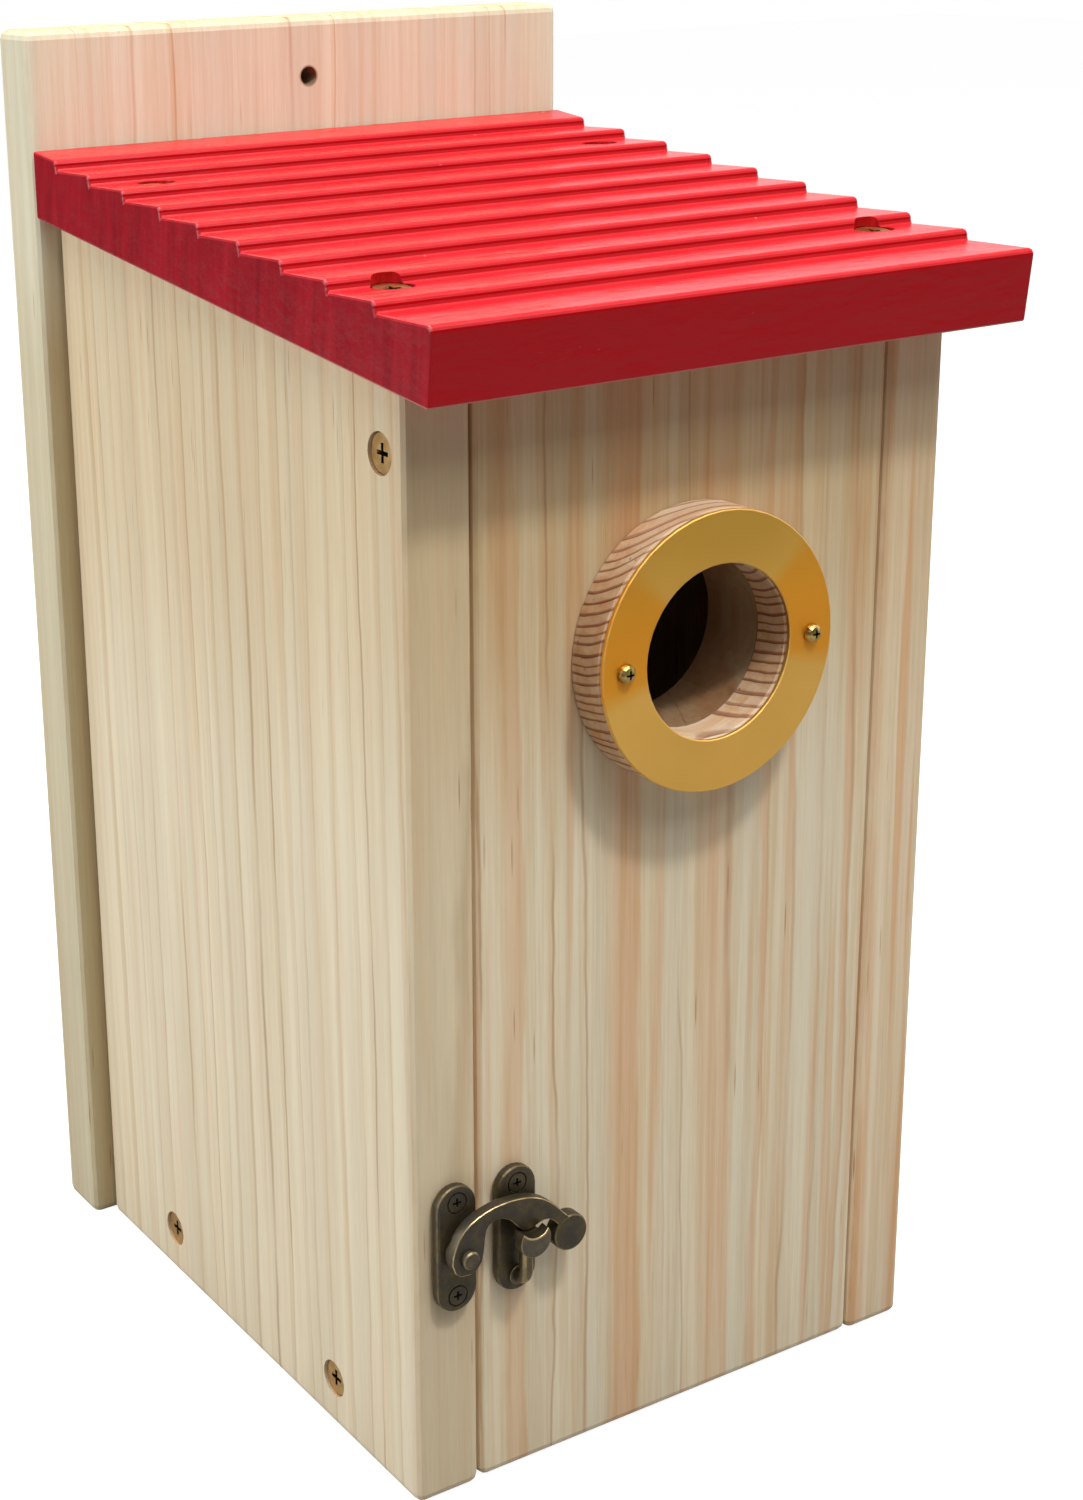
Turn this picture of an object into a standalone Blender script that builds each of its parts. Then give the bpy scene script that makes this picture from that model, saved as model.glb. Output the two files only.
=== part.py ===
"""Bird nest box: a pine box on a back board, with a ribbed roof, a door hung on two screws and a swing latch.

Metres, +Z up. The box stands at z = 0, its front looks along -Y, and X and Y are zero at the middle of its outline.
"""

import math
from collections import namedtuple

import bmesh
import bpy
from mathutils import Matrix, Vector

# Boards and the gaps between them
BOARD_THICKNESS = 0.015
EDGE_ROUND = 0.002
SEAT_GAP = 0.0003
CUT_OVERRUN = 0.004

# Body
BODY_WIDTH = 0.130
BODY_DEPTH = 0.140
SIDE_OVERHANG = 0.005
SIDE_FRONT_HEIGHT = 0.2303
ROOF_PITCH = math.radians(6.2)
FLOOR_RECESS = 0.004
DRAIN_DIAMETER = 0.005
DRAIN_INSET = 0.018

# Back board
BACK_HEIGHT = 0.2855
HANGING_HOLE_DIAMETER = 0.0042
HANGING_HOLE_DROP = 0.0132

# Ribbed roof board
ROOF_OVERHANG = 0.016
ROOF_THICKNESS = 0.0145
STEP_DROP = 0.0022
STEP_COUNT = 9
FRONT_TREAD = 0.0175
REAR_TREAD = 0.012
CREST_ROUND = 0.0012
FOOT_ROUND = 0.0006
RISER_LEAN = 0.0004
ROOF_END_ROUND = 0.0006

# Door, hung on two screws near its top
DOOR_SIDE_GAP = 0.0003
DOOR_BOTTOM_GAP = 0.0005
DOOR_TOP_GAP = 0.0023
DOOR_STOP_GAP = 0.0005
PIVOT_DROP = 0.0137
KERF_DEPTH = 0.0015
KERF_HEIGHT = 0.0016
KERF_PITCH = 0.014
KERF_COUNT = 5
KERF_DROP = 0.012

# Entrance
ENTRANCE_DROP = 0.0583
ENTRANCE_DIAMETER = 0.035
RING_DIAMETER = 0.056
RING_THICKNESS = 0.0085
RING_ROUND = 0.0006
GUARD_THICKNESS = 0.0008
GUARD_ROUND = 0.0002

# Places of the screws
FLOOR_SCREW_FRONT = 0.0329
FLOOR_SCREW_REAR = 0.0343
ROOF_SCREW_FRONT = 0.0315
ROOF_SCREW_REAR = 0.0325
ROOF_SCREW_SINK = 0.0021
BACK_SCREW_LOW = 0.045
BACK_SCREW_HIGH = 0.060
SIDE_SCREW_SINK = 0.0006

# Swing latch
LATCH_HEIGHT = 0.0577
LATCH_PLATE_WIDTH = 0.0092
LATCH_PLATE_HEIGHT = 0.0276
LATCH_PLATE_THICKNESS = 0.0024
LATCH_PLATE_ROUND = 0.0006
BASE_PLATE_INSET = 0.0082
CATCH_PLATE_INSET = 0.0075
LATCH_SCREW_INSET = 0.0035
ARM_REACH = 0.0254
ARM_TIP_DROP = 0.0022
ARM_THICKNESS = 0.0024
ARM_ROUND = 0.0005
ARM_STEP = 0.0002
ARM_BOSS_DIAMETER = 0.0072
ARM_BOSS_THICKNESS = 0.0036
ARM_TIP_DIAMETER = 0.0082
ARM_TIP_THICKNESS = 0.0050
ARM_CLEARANCE = 0.0003
RIVET_DIAMETER = 0.0024
RIVET_HEAD_DIAMETER = 0.0038
RIVET_HEAD_THICKNESS = 0.0012
RIVET_CLEARANCE = 0.0001
POST_DIAMETER = 0.0026
POST_REACH = 0.0028
POST_BEND_RADIUS = 0.0022
POST_ROOT_DIAMETER = 0.0036
POST_ROOT_HEIGHT = 0.0005
CATCH_HEAD_DIAMETER = 0.0072
CATCH_HEAD_THICKNESS = 0.0022
CATCH_HEAD_ROUND = 0.0005
CATCH_HEAD_CLEARANCE = 0.0004
CATCH_NECK_DIAMETER = 0.0036
SADDLE_DIAMETER = 0.0075
SADDLE_DEPTH = 0.0030

# The arm's blade, as shares of its reach, measured from the pivot
BLADE_TOP_SHARES = (
    (-0.12, 0.06), (-0.09, 0.18), (0.01, 0.28), (0.13, 0.335), (0.24, 0.362), (0.36, 0.370),
    (0.49, 0.362), (0.61, 0.335), (0.72, 0.282), (0.82, 0.200), (0.91, 0.105), (0.99, 0.035),
)
BLADE_UNDER_SHARES = (
    (0.93, -0.14), (0.87, -0.02), (0.81, 0.060), (0.74, 0.098), (0.665, 0.090), (0.605, 0.066),
    (0.54, 0.062), (0.475, 0.110), (0.42, 0.176), (0.355, 0.226), (0.285, 0.246), (0.22, 0.236),
    (0.170, 0.18), (0.158, 0.07), (0.08, -0.04),
)

# Wood screws, latch screws and the small domed screws of the entrance guard
WOOD_SCREW_HEAD_DIAMETER = 0.0076
WOOD_SCREW_HEAD_HEIGHT = 0.0024
WOOD_SCREW_SHANK_DIAMETER = 0.0036
WOOD_SCREW_LENGTH = 0.028
LATCH_SCREW_HEAD_DIAMETER = 0.0040
LATCH_SCREW_HEAD_HEIGHT = 0.0012
LATCH_SCREW_SHANK_DIAMETER = 0.0020
LATCH_SCREW_LENGTH = 0.009
GUARD_SCREW_HEAD_DIAMETER = 0.0038
GUARD_SCREW_HEAD_HEIGHT = 0.0015
GUARD_SCREW_SHANK_DIAMETER = 0.0020
GUARD_SCREW_LENGTH = 0.016

# A screw's finer shape: the tip as a share of the shank's diameter, the rest of the head's
TIP_SHARE = 1.4
RIM_SHARE = 0.055
RECESS_DEPTH_SHARE = 0.21
RECESS_WIDTH_SHARE = 0.15
RECESS_REACH_SHARE = 0.33
RECESS_FOOT_SHARE = 0.5

# How finely the round shapes are drawn
BOARD_ROUND_STEPS = 3
SMALL_ROUND_STEPS = 2
HOLE_STEPS = 24
ENTRANCE_STEPS = 48
SCREW_STEPS = 16
CREST_STEPS = 4
CURVE_STEPS = 2
POST_STEPS = 6

# Finishes: colour, roughness, metallic
PINE = ((0.78, 0.62, 0.42), 0.62, 0.0)
RED_PAINT = ((0.72, 0.02, 0.04), 0.28, 0.0)
SATIN_BRASS = ((0.74, 0.50, 0.14), 0.34, 1.0)
YELLOW_ZINC = ((0.70, 0.56, 0.28), 0.38, 1.0)
ANTIQUE_BRONZE = ((0.20, 0.16, 0.10), 0.46, 1.0)


Screw = namedtuple("Screw", "head_diameter head_height shank_diameter length")
WOOD_SCREW = Screw(
    WOOD_SCREW_HEAD_DIAMETER, WOOD_SCREW_HEAD_HEIGHT, WOOD_SCREW_SHANK_DIAMETER, WOOD_SCREW_LENGTH
)
LATCH_SCREW = Screw(
    LATCH_SCREW_HEAD_DIAMETER, LATCH_SCREW_HEAD_HEIGHT, LATCH_SCREW_SHANK_DIAMETER, LATCH_SCREW_LENGTH
)
GUARD_SCREW = Screw(
    GUARD_SCREW_HEAD_DIAMETER, GUARD_SCREW_HEAD_HEIGHT, GUARD_SCREW_SHANK_DIAMETER, GUARD_SCREW_LENGTH
)


def clear_scene():
    for old in list(bpy.data.objects):
        bpy.data.objects.remove(old, do_unlink=True)


def add_finish(obj, finish):
    """Gives the object a material of its own, named after it."""
    colour, roughness, metallic = finish
    material = bpy.data.materials.new(obj.name)
    material.use_nodes = True
    shader = material.node_tree.nodes["Principled BSDF"]
    shader.inputs["Base Color"].default_value = (*colour, 1.0)
    shader.inputs["Roughness"].default_value = roughness
    shader.inputs["Metallic"].default_value = metallic
    material.diffuse_color = (*colour, 1.0)
    obj.data.materials.clear()
    obj.data.materials.append(material)


def object_of(name, bm, smooth_angle=None):
    """Turns a bmesh into an object in the scene, with its faces pointing out."""
    bmesh.ops.recalc_face_normals(bm, faces=bm.faces)
    mesh = bpy.data.meshes.new(name)
    bm.to_mesh(mesh)
    bm.free()
    if smooth_angle is not None:
        mesh.shade_smooth()
        mesh.set_sharp_from_angle(angle=smooth_angle)
    obj = bpy.data.objects.new(name, mesh)
    bpy.context.scene.collection.objects.link(obj)
    return obj


def as_helper(obj):
    """Keeps a cutter or a shape to be joined out of the finished model."""
    obj.hide_render = True
    obj.display_type = "WIRE"
    return obj


def add_boolean(obj, other, operation="DIFFERENCE"):
    modifier = obj.modifiers.new(other.name, "BOOLEAN")
    modifier.operation = operation
    modifier.solver = "EXACT"
    modifier.object = other


def add_round(obj, width, steps, angle=math.radians(35)):
    """Rounds every edge sharper than the angle."""
    modifier = obj.modifiers.new("round", "BEVEL")
    modifier.width = width
    modifier.segments = steps
    modifier.limit_method = "ANGLE"
    modifier.angle_limit = angle


def prism(name, outline, start, end, place, smooth_angle=None):
    """Extrudes an outline of (u, v) points from start to end. place(u, v, w) gives the point in space."""
    bm = bmesh.new()
    face = bm.faces.new([bm.verts.new(place(u, v, start)) for u, v in outline])
    grown = bmesh.ops.extrude_face_region(bm, geom=[face])
    moved = [item for item in grown["geom"] if isinstance(item, bmesh.types.BMVert)]
    travel = place(0.0, 0.0, end) - place(0.0, 0.0, start)
    bmesh.ops.translate(bm, verts=moved, vec=travel)
    return object_of(name, bm, smooth_angle)


def across_x(u, v, w):
    """An outline in Y and Z, extruded along X."""
    return Vector((w, u, v))


def across_y(u, v, w):
    """An outline in X and Z, extruded along Y."""
    return Vector((u, w, v))


def across_z(u, v, w):
    """An outline in X and Y, extruded along Z."""
    return Vector((u, v, w))


def rectangle(low_u, high_u, low_v, high_v):
    return [(low_u, low_v), (high_u, low_v), (high_u, high_v), (low_u, high_v)]


def arc(centre, radius, start, end, steps):
    """Points of an arc, its two ends included."""
    turns = [start + (end - start) * step / steps for step in range(steps + 1)]
    return [(centre[0] + radius * math.cos(turn), centre[1] + radius * math.sin(turn)) for turn in turns]


def smooth_curve(points, steps):
    """Points of a smooth curve through the given ones, the last left out of each stretch but the end."""
    padded = [points[0], *points, points[-1]]
    curve = []
    for before, here, there, after in zip(padded, padded[1:], padded[2:], padded[3:]):
        for step in range(steps):
            t = step / steps
            curve.append(tuple(
                (2 * b + (c - a) * t + (2 * a - 5 * b + 4 * c - d) * t**2 + (3 * b - a - 3 * c + d) * t**3) / 2
                for a, b, c, d in zip(before, here, there, after)
            ))
    return [*curve, points[-1]]


def turned(name, profile, steps, place=None, smooth_angle=math.radians(40)):
    """Spins a profile of (radius, height) points round Z, then puts it at the place."""
    bm = bmesh.new()
    ring = [bm.verts.new((radius, 0.0, height)) for radius, height in profile]
    edges = [bm.edges.new(pair) for pair in zip(ring, ring[1:])]
    if profile[0][0] > 0.0:
        edges.append(bm.edges.new((ring[-1], ring[0])))
    turn = {"axis": (0.0, 0.0, 1.0), "cent": (0.0, 0.0, 0.0), "angle": math.tau, "steps": steps}
    bmesh.ops.spin(bm, geom=ring + edges, use_merge=False, **turn)
    bmesh.ops.remove_doubles(bm, verts=bm.verts, dist=min(SEAT_GAP, RIVET_CLEARANCE) / HOLE_STEPS)
    obj = object_of(name, bm, smooth_angle)
    if place is not None:
        obj.matrix_world = place
    return obj


def facing(point, out):
    """A place at the point whose own Z looks along out."""
    return Matrix.Translation(point) @ Vector(out).to_track_quat("Z", "Y").to_matrix().to_4x4()


def applied_mesh(obj):
    """The object's mesh with its modifiers applied. The object itself is removed."""
    bpy.context.view_layer.update()
    graph = bpy.context.evaluated_depsgraph_get()
    mesh = bpy.data.meshes.new_from_object(obj.evaluated_get(graph))
    bpy.data.objects.remove(obj, do_unlink=True)
    return mesh


def hang_on(empty, pieces):
    """Parents the pieces to an empty on their joint's axis and leaves them where they are."""
    for piece in pieces:
        piece.parent = empty
        piece.matrix_parent_inverse = Matrix.Translation(-empty.location)


def pivot_empty(name, point):
    empty = bpy.data.objects.new(name, None)
    empty.location = point
    bpy.context.scene.collection.objects.link(empty)
    return empty


# Places worked out from the sizes


def roof_length(height):
    """Length along the slope at a height above the underside. The rear end is cut plumb against the back board."""
    level = (ROOF_OVERHANG + BODY_DEPTH - SEAT_GAP) / math.cos(ROOF_PITCH)
    return level + height * math.tan(ROOF_PITCH)


def roof_step_places():
    """How far up the slope each riser stands."""
    pitch = (roof_length(ROOF_THICKNESS) - FRONT_TREAD - REAR_TREAD) / (STEP_COUNT - 1)
    return [FRONT_TREAD + index * pitch for index in range(STEP_COUNT)]


def crest_at(place):
    """The rounded crest over a riser, from the riser's face round to the tread behind it."""
    centre = (place + RISER_LEAN + CREST_ROUND, ROOF_THICKNESS - CREST_ROUND)
    return arc(centre, CREST_ROUND, math.pi, math.pi / 2, CREST_STEPS)


def roof_outline():
    """The ribbed section as (up the slope, above the underside): each tread falls back to the next riser's foot."""
    points = [(0.0, 0.0), *crest_at(-RISER_LEAN)]
    for place in roof_step_places():
        foot = ROOF_THICKNESS - STEP_DROP
        points += [(place - FOOT_ROUND, foot + FOOT_ROUND / 2), (place, foot)]
        points += crest_at(place)
    points += [(roof_length(ROOF_THICKNESS), ROOF_THICKNESS), (roof_length(0.0), 0.0)]
    return points


def roof_reach():
    """How far the roof's front stands out from the front of the body."""
    lean = [along * math.cos(ROOF_PITCH) - height * math.sin(ROOF_PITCH) for along, height in roof_outline()]
    return ROOF_OVERHANG - min(lean)


FRONT = (roof_reach() - BODY_DEPTH - BOARD_THICKNESS) / 2
BACK = FRONT + BODY_DEPTH
DOOR_BACK = FRONT + BOARD_THICKNESS
OUTER_HALF = BODY_WIDTH / 2 + SIDE_OVERHANG
INNER_HALF = BODY_WIDTH / 2 - BOARD_THICKNESS
SIDE_MIDDLE = BODY_WIDTH / 2 - BOARD_THICKNESS / 2
DOOR_HALF = INNER_HALF - DOOR_SIDE_GAP
DOOR_TOP = SIDE_FRONT_HEIGHT - DOOR_TOP_GAP
ENTRANCE_HEIGHT = SIDE_FRONT_HEIGHT - ENTRANCE_DROP
FLOOR_TOP = FLOOR_RECESS + BOARD_THICKNESS
FLOOR_MIDDLE = FLOOR_RECESS + BOARD_THICKNESS / 2
DOOR_PIVOT = Vector((0.0, FRONT + BOARD_THICKNESS / 2, SIDE_FRONT_HEIGHT - PIVOT_DROP))
RING_FRONT = FRONT - SEAT_GAP - RING_THICKNESS
GUARD_FRONT = RING_FRONT - SEAT_GAP - GUARD_THICKNESS
LATCH_PLATE_FRONT = FRONT - SEAT_GAP - LATCH_PLATE_THICKNESS
ARM_BACK = LATCH_PLATE_FRONT - ARM_CLEARANCE
ARM_MIDDLE = ARM_BACK - ARM_BOSS_THICKNESS / 2
ARM_FRONT = ARM_BACK - ARM_BOSS_THICKNESS
LATCH_PIVOT = Vector((BASE_PLATE_INSET - BODY_WIDTH / 2, ARM_MIDDLE, LATCH_HEIGHT))
CATCH_X = CATCH_PLATE_INSET - INNER_HALF
LATCH_SCREW_RISE = LATCH_PLATE_HEIGHT / 2 - LATCH_SCREW_INSET


def roof_point(x, along, height):
    """A point of the roof board, from how far up the slope it is and how high above the underside."""
    origin_z = SIDE_FRONT_HEIGHT + SEAT_GAP / math.cos(ROOF_PITCH) - ROOF_OVERHANG * math.tan(ROOF_PITCH)
    y = along * math.cos(ROOF_PITCH) - height * math.sin(ROOF_PITCH)
    z = along * math.sin(ROOF_PITCH) + height * math.cos(ROOF_PITCH)
    return Vector((x, FRONT - ROOF_OVERHANG + y, origin_z + z))


ROOF_OUT = roof_point(0.0, 0.0, 1.0) - roof_point(0.0, 0.0, 0.0)


# Fasteners


def countersunk_profile(screw, gap=0.0, open_above=0.0):
    """Half of a countersunk screw, tip to head. With a gap it is the hole that the screw goes in."""
    head, shank = screw.head_diameter / 2 + gap, screw.shank_diameter / 2 + gap
    slack = gap * (math.sqrt(2.0) - 1.0)
    tip, rim = screw.shank_diameter * TIP_SHARE, screw.head_diameter * RIM_SHARE
    return [
        (0.0, -screw.length - gap),
        (shank, tip - screw.length - gap),
        (shank, -screw.head_height - slack),
        (head, -rim - slack),
        (head, open_above),
        (0.0, open_above),
    ]


def domed_profile(screw):
    """Half of a screw with a domed head that stands on the surface."""
    head, shank = screw.head_diameter / 2, screw.shank_diameter / 2
    tip, rim = screw.shank_diameter * TIP_SHARE, screw.head_diameter * RIM_SHARE
    turns = [math.pi / 2 * step / CREST_STEPS for step in range(CREST_STEPS)]
    dome = [(head * math.cos(turn), rim + (screw.head_height - rim) * math.sin(turn)) for turn in turns]
    return [
        (0.0, -screw.length), (shank, tip - screw.length), (shank, 0.0), (head, 0.0), *dome,
        (0.0, screw.head_height),
    ]


def cross_recess(screw, top):
    """The cross that a driver fits, narrower at its foot."""
    reach, wide = screw.head_diameter * RECESS_REACH_SHARE, screw.head_diameter * RECESS_WIDTH_SHARE / 2
    depth = screw.head_diameter * RECESS_DEPTH_SHARE
    outline = []
    for quarter in range(4):
        turn = Matrix.Rotation(quarter * math.pi / 2, 2)
        outline += [tuple(turn @ Vector(corner)) for corner in ((reach, wide), (wide, wide), (wide, reach))]
    cutter = prism("cross_recess", outline, top + depth, top - depth, across_z)
    for vertex in cutter.data.vertices:
        if vertex.co.z < top:
            vertex.co.x *= RECESS_FOOT_SHARE
            vertex.co.y *= RECESS_FOOT_SHARE
    return as_helper(cutter)


def screw_mesh(name, screw, profile, top):
    """One finished screw, to be shared by every copy."""
    blank = turned(name, profile, SCREW_STEPS)
    recess = cross_recess(screw, top)
    add_boolean(blank, recess)
    mesh = applied_mesh(blank)
    bpy.data.objects.remove(recess, do_unlink=True)
    return mesh


def place_screw(name, mesh, point, out, finish):
    obj = bpy.data.objects.new(name, mesh.copy())
    obj.matrix_world = facing(point, out)
    bpy.context.scene.collection.objects.link(obj)
    add_finish(obj, finish)
    return obj


def screw_hole(name, screw, point, out, pieces):
    """Cuts a countersunk hole through all the pieces that the screw passes or bites in."""
    profile = countersunk_profile(screw, SEAT_GAP, CUT_OVERRUN)
    cutter = as_helper(turned(f"hole_{name}", profile, HOLE_STEPS, facing(point, out)))
    for piece in pieces:
        add_boolean(piece, cutter)


def plain_hole(name, diameter, point, out, length, piece, steps=HOLE_STEPS):
    """Drills a round hole of the length, centred on the point."""
    profile = [(0.0, -length / 2), (diameter / 2, -length / 2), (diameter / 2, length / 2), (0.0, length / 2)]
    add_boolean(piece, as_helper(turned(f"hole_{name}", profile, steps, facing(point, out))))


# Boards


def board(name, outline, start, end, place, finish=PINE):
    obj = prism(name, outline, start, end, place)
    add_round(obj, EDGE_ROUND, BOARD_ROUND_STEPS)
    add_finish(obj, finish)
    return obj


def make_back_board():
    outline = rectangle(-OUTER_HALF, OUTER_HALF, 0.0, BACK_HEIGHT)
    obj = board("back_board", outline, BACK, BACK + BOARD_THICKNESS, across_y)
    hole = (0.0, BACK + BOARD_THICKNESS / 2, BACK_HEIGHT - HANGING_HOLE_DROP)
    plain_hole("hanging", HANGING_HOLE_DIAMETER, hole, (0.0, -1.0, 0.0), BOARD_THICKNESS + CUT_OVERRUN, obj)
    return obj


def make_side(name, side):
    """A side panel, its top cut to the roof's slope. side is -1 for the left and 1 for the right."""
    rear = BACK - SEAT_GAP
    rear_top = SIDE_FRONT_HEIGHT + (rear - FRONT) * math.tan(ROOF_PITCH)
    outline = [(FRONT, 0.0), (rear, 0.0), (rear, rear_top), (FRONT, SIDE_FRONT_HEIGHT)]
    return board(name, outline, side * INNER_HALF, side * BODY_WIDTH / 2, across_x)


def make_floor():
    """The floor sits between the four walls, and its front edge stops the door."""
    half = INNER_HALF - SEAT_GAP
    front, rear = DOOR_BACK + DOOR_STOP_GAP, BACK - SEAT_GAP
    obj = board("floor_board", rectangle(-half, half, front, rear), FLOOR_RECESS, FLOOR_TOP, across_z)
    for side in (-1, 1):
        for index, y in enumerate((front + DRAIN_INSET, rear - DRAIN_INSET)):
            point = (side * (half - DRAIN_INSET), y, FLOOR_MIDDLE)
            length = BOARD_THICKNESS + CUT_OVERRUN
            plain_hole(f"drain_{side}_{index}", DRAIN_DIAMETER, point, (0.0, 0.0, 1.0), length, obj)
    return obj


def make_door():
    """The whole front swings. Saw kerfs under the entrance, on its inner face, are a ladder for fledglings."""
    obj = board("front_door", rectangle(-DOOR_HALF, DOOR_HALF, DOOR_BOTTOM_GAP, DOOR_TOP), FRONT, DOOR_BACK, across_y)
    entrance = (0.0, FRONT + BOARD_THICKNESS / 2, ENTRANCE_HEIGHT)
    through = BOARD_THICKNESS + CUT_OVERRUN
    plain_hole("entrance", ENTRANCE_DIAMETER, entrance, (0.0, -1.0, 0.0), through, obj, ENTRANCE_STEPS)
    top = ENTRANCE_HEIGHT - ENTRANCE_DIAMETER / 2 - KERF_DROP
    reach = DOOR_HALF + CUT_OVERRUN
    for index in range(KERF_COUNT):
        high = top - index * KERF_PITCH
        outline = rectangle(DOOR_BACK - KERF_DEPTH, DOOR_BACK + CUT_OVERRUN, high - KERF_HEIGHT, high)
        add_boolean(obj, as_helper(prism(f"kerf_{index}", outline, -reach, reach, across_x)))
    return obj


def make_roof():
    """One thick board, planed into nine risers that shed rain like lapped boards."""
    outline = roof_outline()
    obj = prism("roof_board", outline, -OUTER_HALF, OUTER_HALF, lambda u, v, w: roof_point(w, u, v))
    add_round(obj, ROOF_END_ROUND, SMALL_ROUND_STEPS, math.radians(60))
    add_finish(obj, RED_PAINT)
    return obj


# Entrance


def make_ring():
    inner, outer, edge = ENTRANCE_DIAMETER / 2, RING_DIAMETER / 2, RING_ROUND
    profile = [
        (inner, 0.0), (outer, 0.0), (outer, RING_THICKNESS - edge), (outer - edge, RING_THICKNESS),
        (inner + edge, RING_THICKNESS), (inner, RING_THICKNESS - edge),
    ]
    place = facing((0.0, FRONT - SEAT_GAP, ENTRANCE_HEIGHT), (0.0, -1.0, 0.0))
    obj = turned("entrance_ring", profile, ENTRANCE_STEPS, place)
    add_finish(obj, PINE)
    return obj


def make_guard():
    """The brass plate that keeps woodpeckers and squirrels from widening the hole."""
    inner, outer, edge = ENTRANCE_DIAMETER / 2, RING_DIAMETER / 2, GUARD_ROUND
    profile = [
        (inner, 0.0), (outer, 0.0), (outer, GUARD_THICKNESS - edge), (outer - edge, GUARD_THICKNESS),
        (inner + edge, GUARD_THICKNESS), (inner, GUARD_THICKNESS - edge),
    ]
    place = facing((0.0, RING_FRONT - SEAT_GAP, ENTRANCE_HEIGHT), (0.0, -1.0, 0.0))
    obj = turned("entrance_guard", profile, ENTRANCE_STEPS, place)
    add_finish(obj, SATIN_BRASS)
    return obj


def fasten_guard(ring, guard, door):
    """Two screws hold the brass plate and the ring to the door, on the level of the hole's middle."""
    mesh = screw_mesh("guard_screw", GUARD_SCREW, domed_profile(GUARD_SCREW), GUARD_SCREW.head_height)
    radius = (ENTRANCE_DIAMETER + RING_DIAMETER) / 4
    screws = []
    for name, side in (("left", -1), ("right", 1)):
        point = (side * radius, GUARD_FRONT - SEAT_GAP, ENTRANCE_HEIGHT)
        screws.append(place_screw(f"guard_screw_{name}", mesh, point, (0.0, -1.0, 0.0), YELLOW_ZINC))
        bore = GUARD_SCREW.shank_diameter + 2 * SEAT_GAP
        for piece in (ring, guard, door):
            plain_hole(f"guard_{name}_{piece.name}", bore, point, (0.0, -1.0, 0.0), 2 * GUARD_SCREW.length, piece)
    return screws


# Screws through the boards


def fasten_floor(sides, floor, mesh):
    for side, panel in zip((-1, 1), sides):
        for end, y in (("front", FRONT + FLOOR_SCREW_FRONT), ("rear", BACK - FLOOR_SCREW_REAR)):
            name = f"floor_screw_{'left' if side < 0 else 'right'}_{end}"
            point = (side * (BODY_WIDTH / 2 - SIDE_SCREW_SINK), y, FLOOR_MIDDLE)
            place_screw(name, mesh, point, (side, 0.0, 0.0), YELLOW_ZINC)
            screw_hole(name, WOOD_SCREW, point, (side, 0.0, 0.0), (panel, floor))


def fasten_door(sides, door, mesh):
    """The two screws that the door swings on: tight in the door, free in the side panels."""
    screws = []
    for side, panel in zip((-1, 1), sides):
        name = f"door_pivot_screw_{'left' if side < 0 else 'right'}"
        point = DOOR_PIVOT + Vector((side * (BODY_WIDTH / 2 - SIDE_SCREW_SINK), 0.0, 0.0))
        screws.append(place_screw(name, mesh, point, (side, 0.0, 0.0), YELLOW_ZINC))
        screw_hole(name, WOOD_SCREW, point, (side, 0.0, 0.0), (panel, door))
    return screws


def fasten_roof(sides, roof, mesh):
    head = ROOF_THICKNESS - ROOF_SCREW_SINK
    places = (("front", ROOF_SCREW_FRONT), ("rear", roof_length(0.0) - ROOF_SCREW_REAR))
    for side, panel in zip((-1, 1), sides):
        for end, along in places:
            name = f"roof_screw_{'left' if side < 0 else 'right'}_{end}"
            point = roof_point(side * SIDE_MIDDLE, along, head)
            place_screw(name, mesh, point, ROOF_OUT, YELLOW_ZINC)
            screw_hole(name, WOOD_SCREW, point, ROOF_OUT, (roof, panel))


def fasten_back(sides, back, mesh):
    for side, panel in zip((-1, 1), sides):
        for end, z in (("low", BACK_SCREW_LOW), ("high", SIDE_FRONT_HEIGHT - BACK_SCREW_HIGH)):
            name = f"back_screw_{'left' if side < 0 else 'right'}_{end}"
            point = (side * SIDE_MIDDLE, BACK + BOARD_THICKNESS - SIDE_SCREW_SINK, z)
            place_screw(name, mesh, point, (0.0, 1.0, 0.0), YELLOW_ZINC)
            screw_hole(name, WOOD_SCREW, point, (0.0, 1.0, 0.0), (back, panel))


# Swing latch


def latch_plate(name, x):
    """A cast plate with round ends. Its front edge is rounded and its back lies on the wood."""
    radius = LATCH_PLATE_WIDTH / 2
    rise = LATCH_PLATE_HEIGHT / 2 - radius
    outline = arc((x, LATCH_HEIGHT + rise), radius, 0.0, math.pi, HOLE_STEPS // 2)
    outline += arc((x, LATCH_HEIGHT - rise), radius, math.pi, math.tau, HOLE_STEPS // 2)
    obj = prism(name, outline, FRONT - SEAT_GAP, LATCH_PLATE_FRONT, across_y, math.radians(50))
    add_round(obj, LATCH_PLATE_ROUND, SMALL_ROUND_STEPS)
    add_finish(obj, ANTIQUE_BRONZE)
    return obj


def fasten_latch(name, mesh, x, z, plate, wood):
    point = (x, LATCH_PLATE_FRONT, z)
    screw = place_screw(name, mesh, point, (0.0, -1.0, 0.0), ANTIQUE_BRONZE)
    screw_hole(name, LATCH_SCREW, point, (0.0, -1.0, 0.0), (plate, wood))
    return screw


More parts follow.
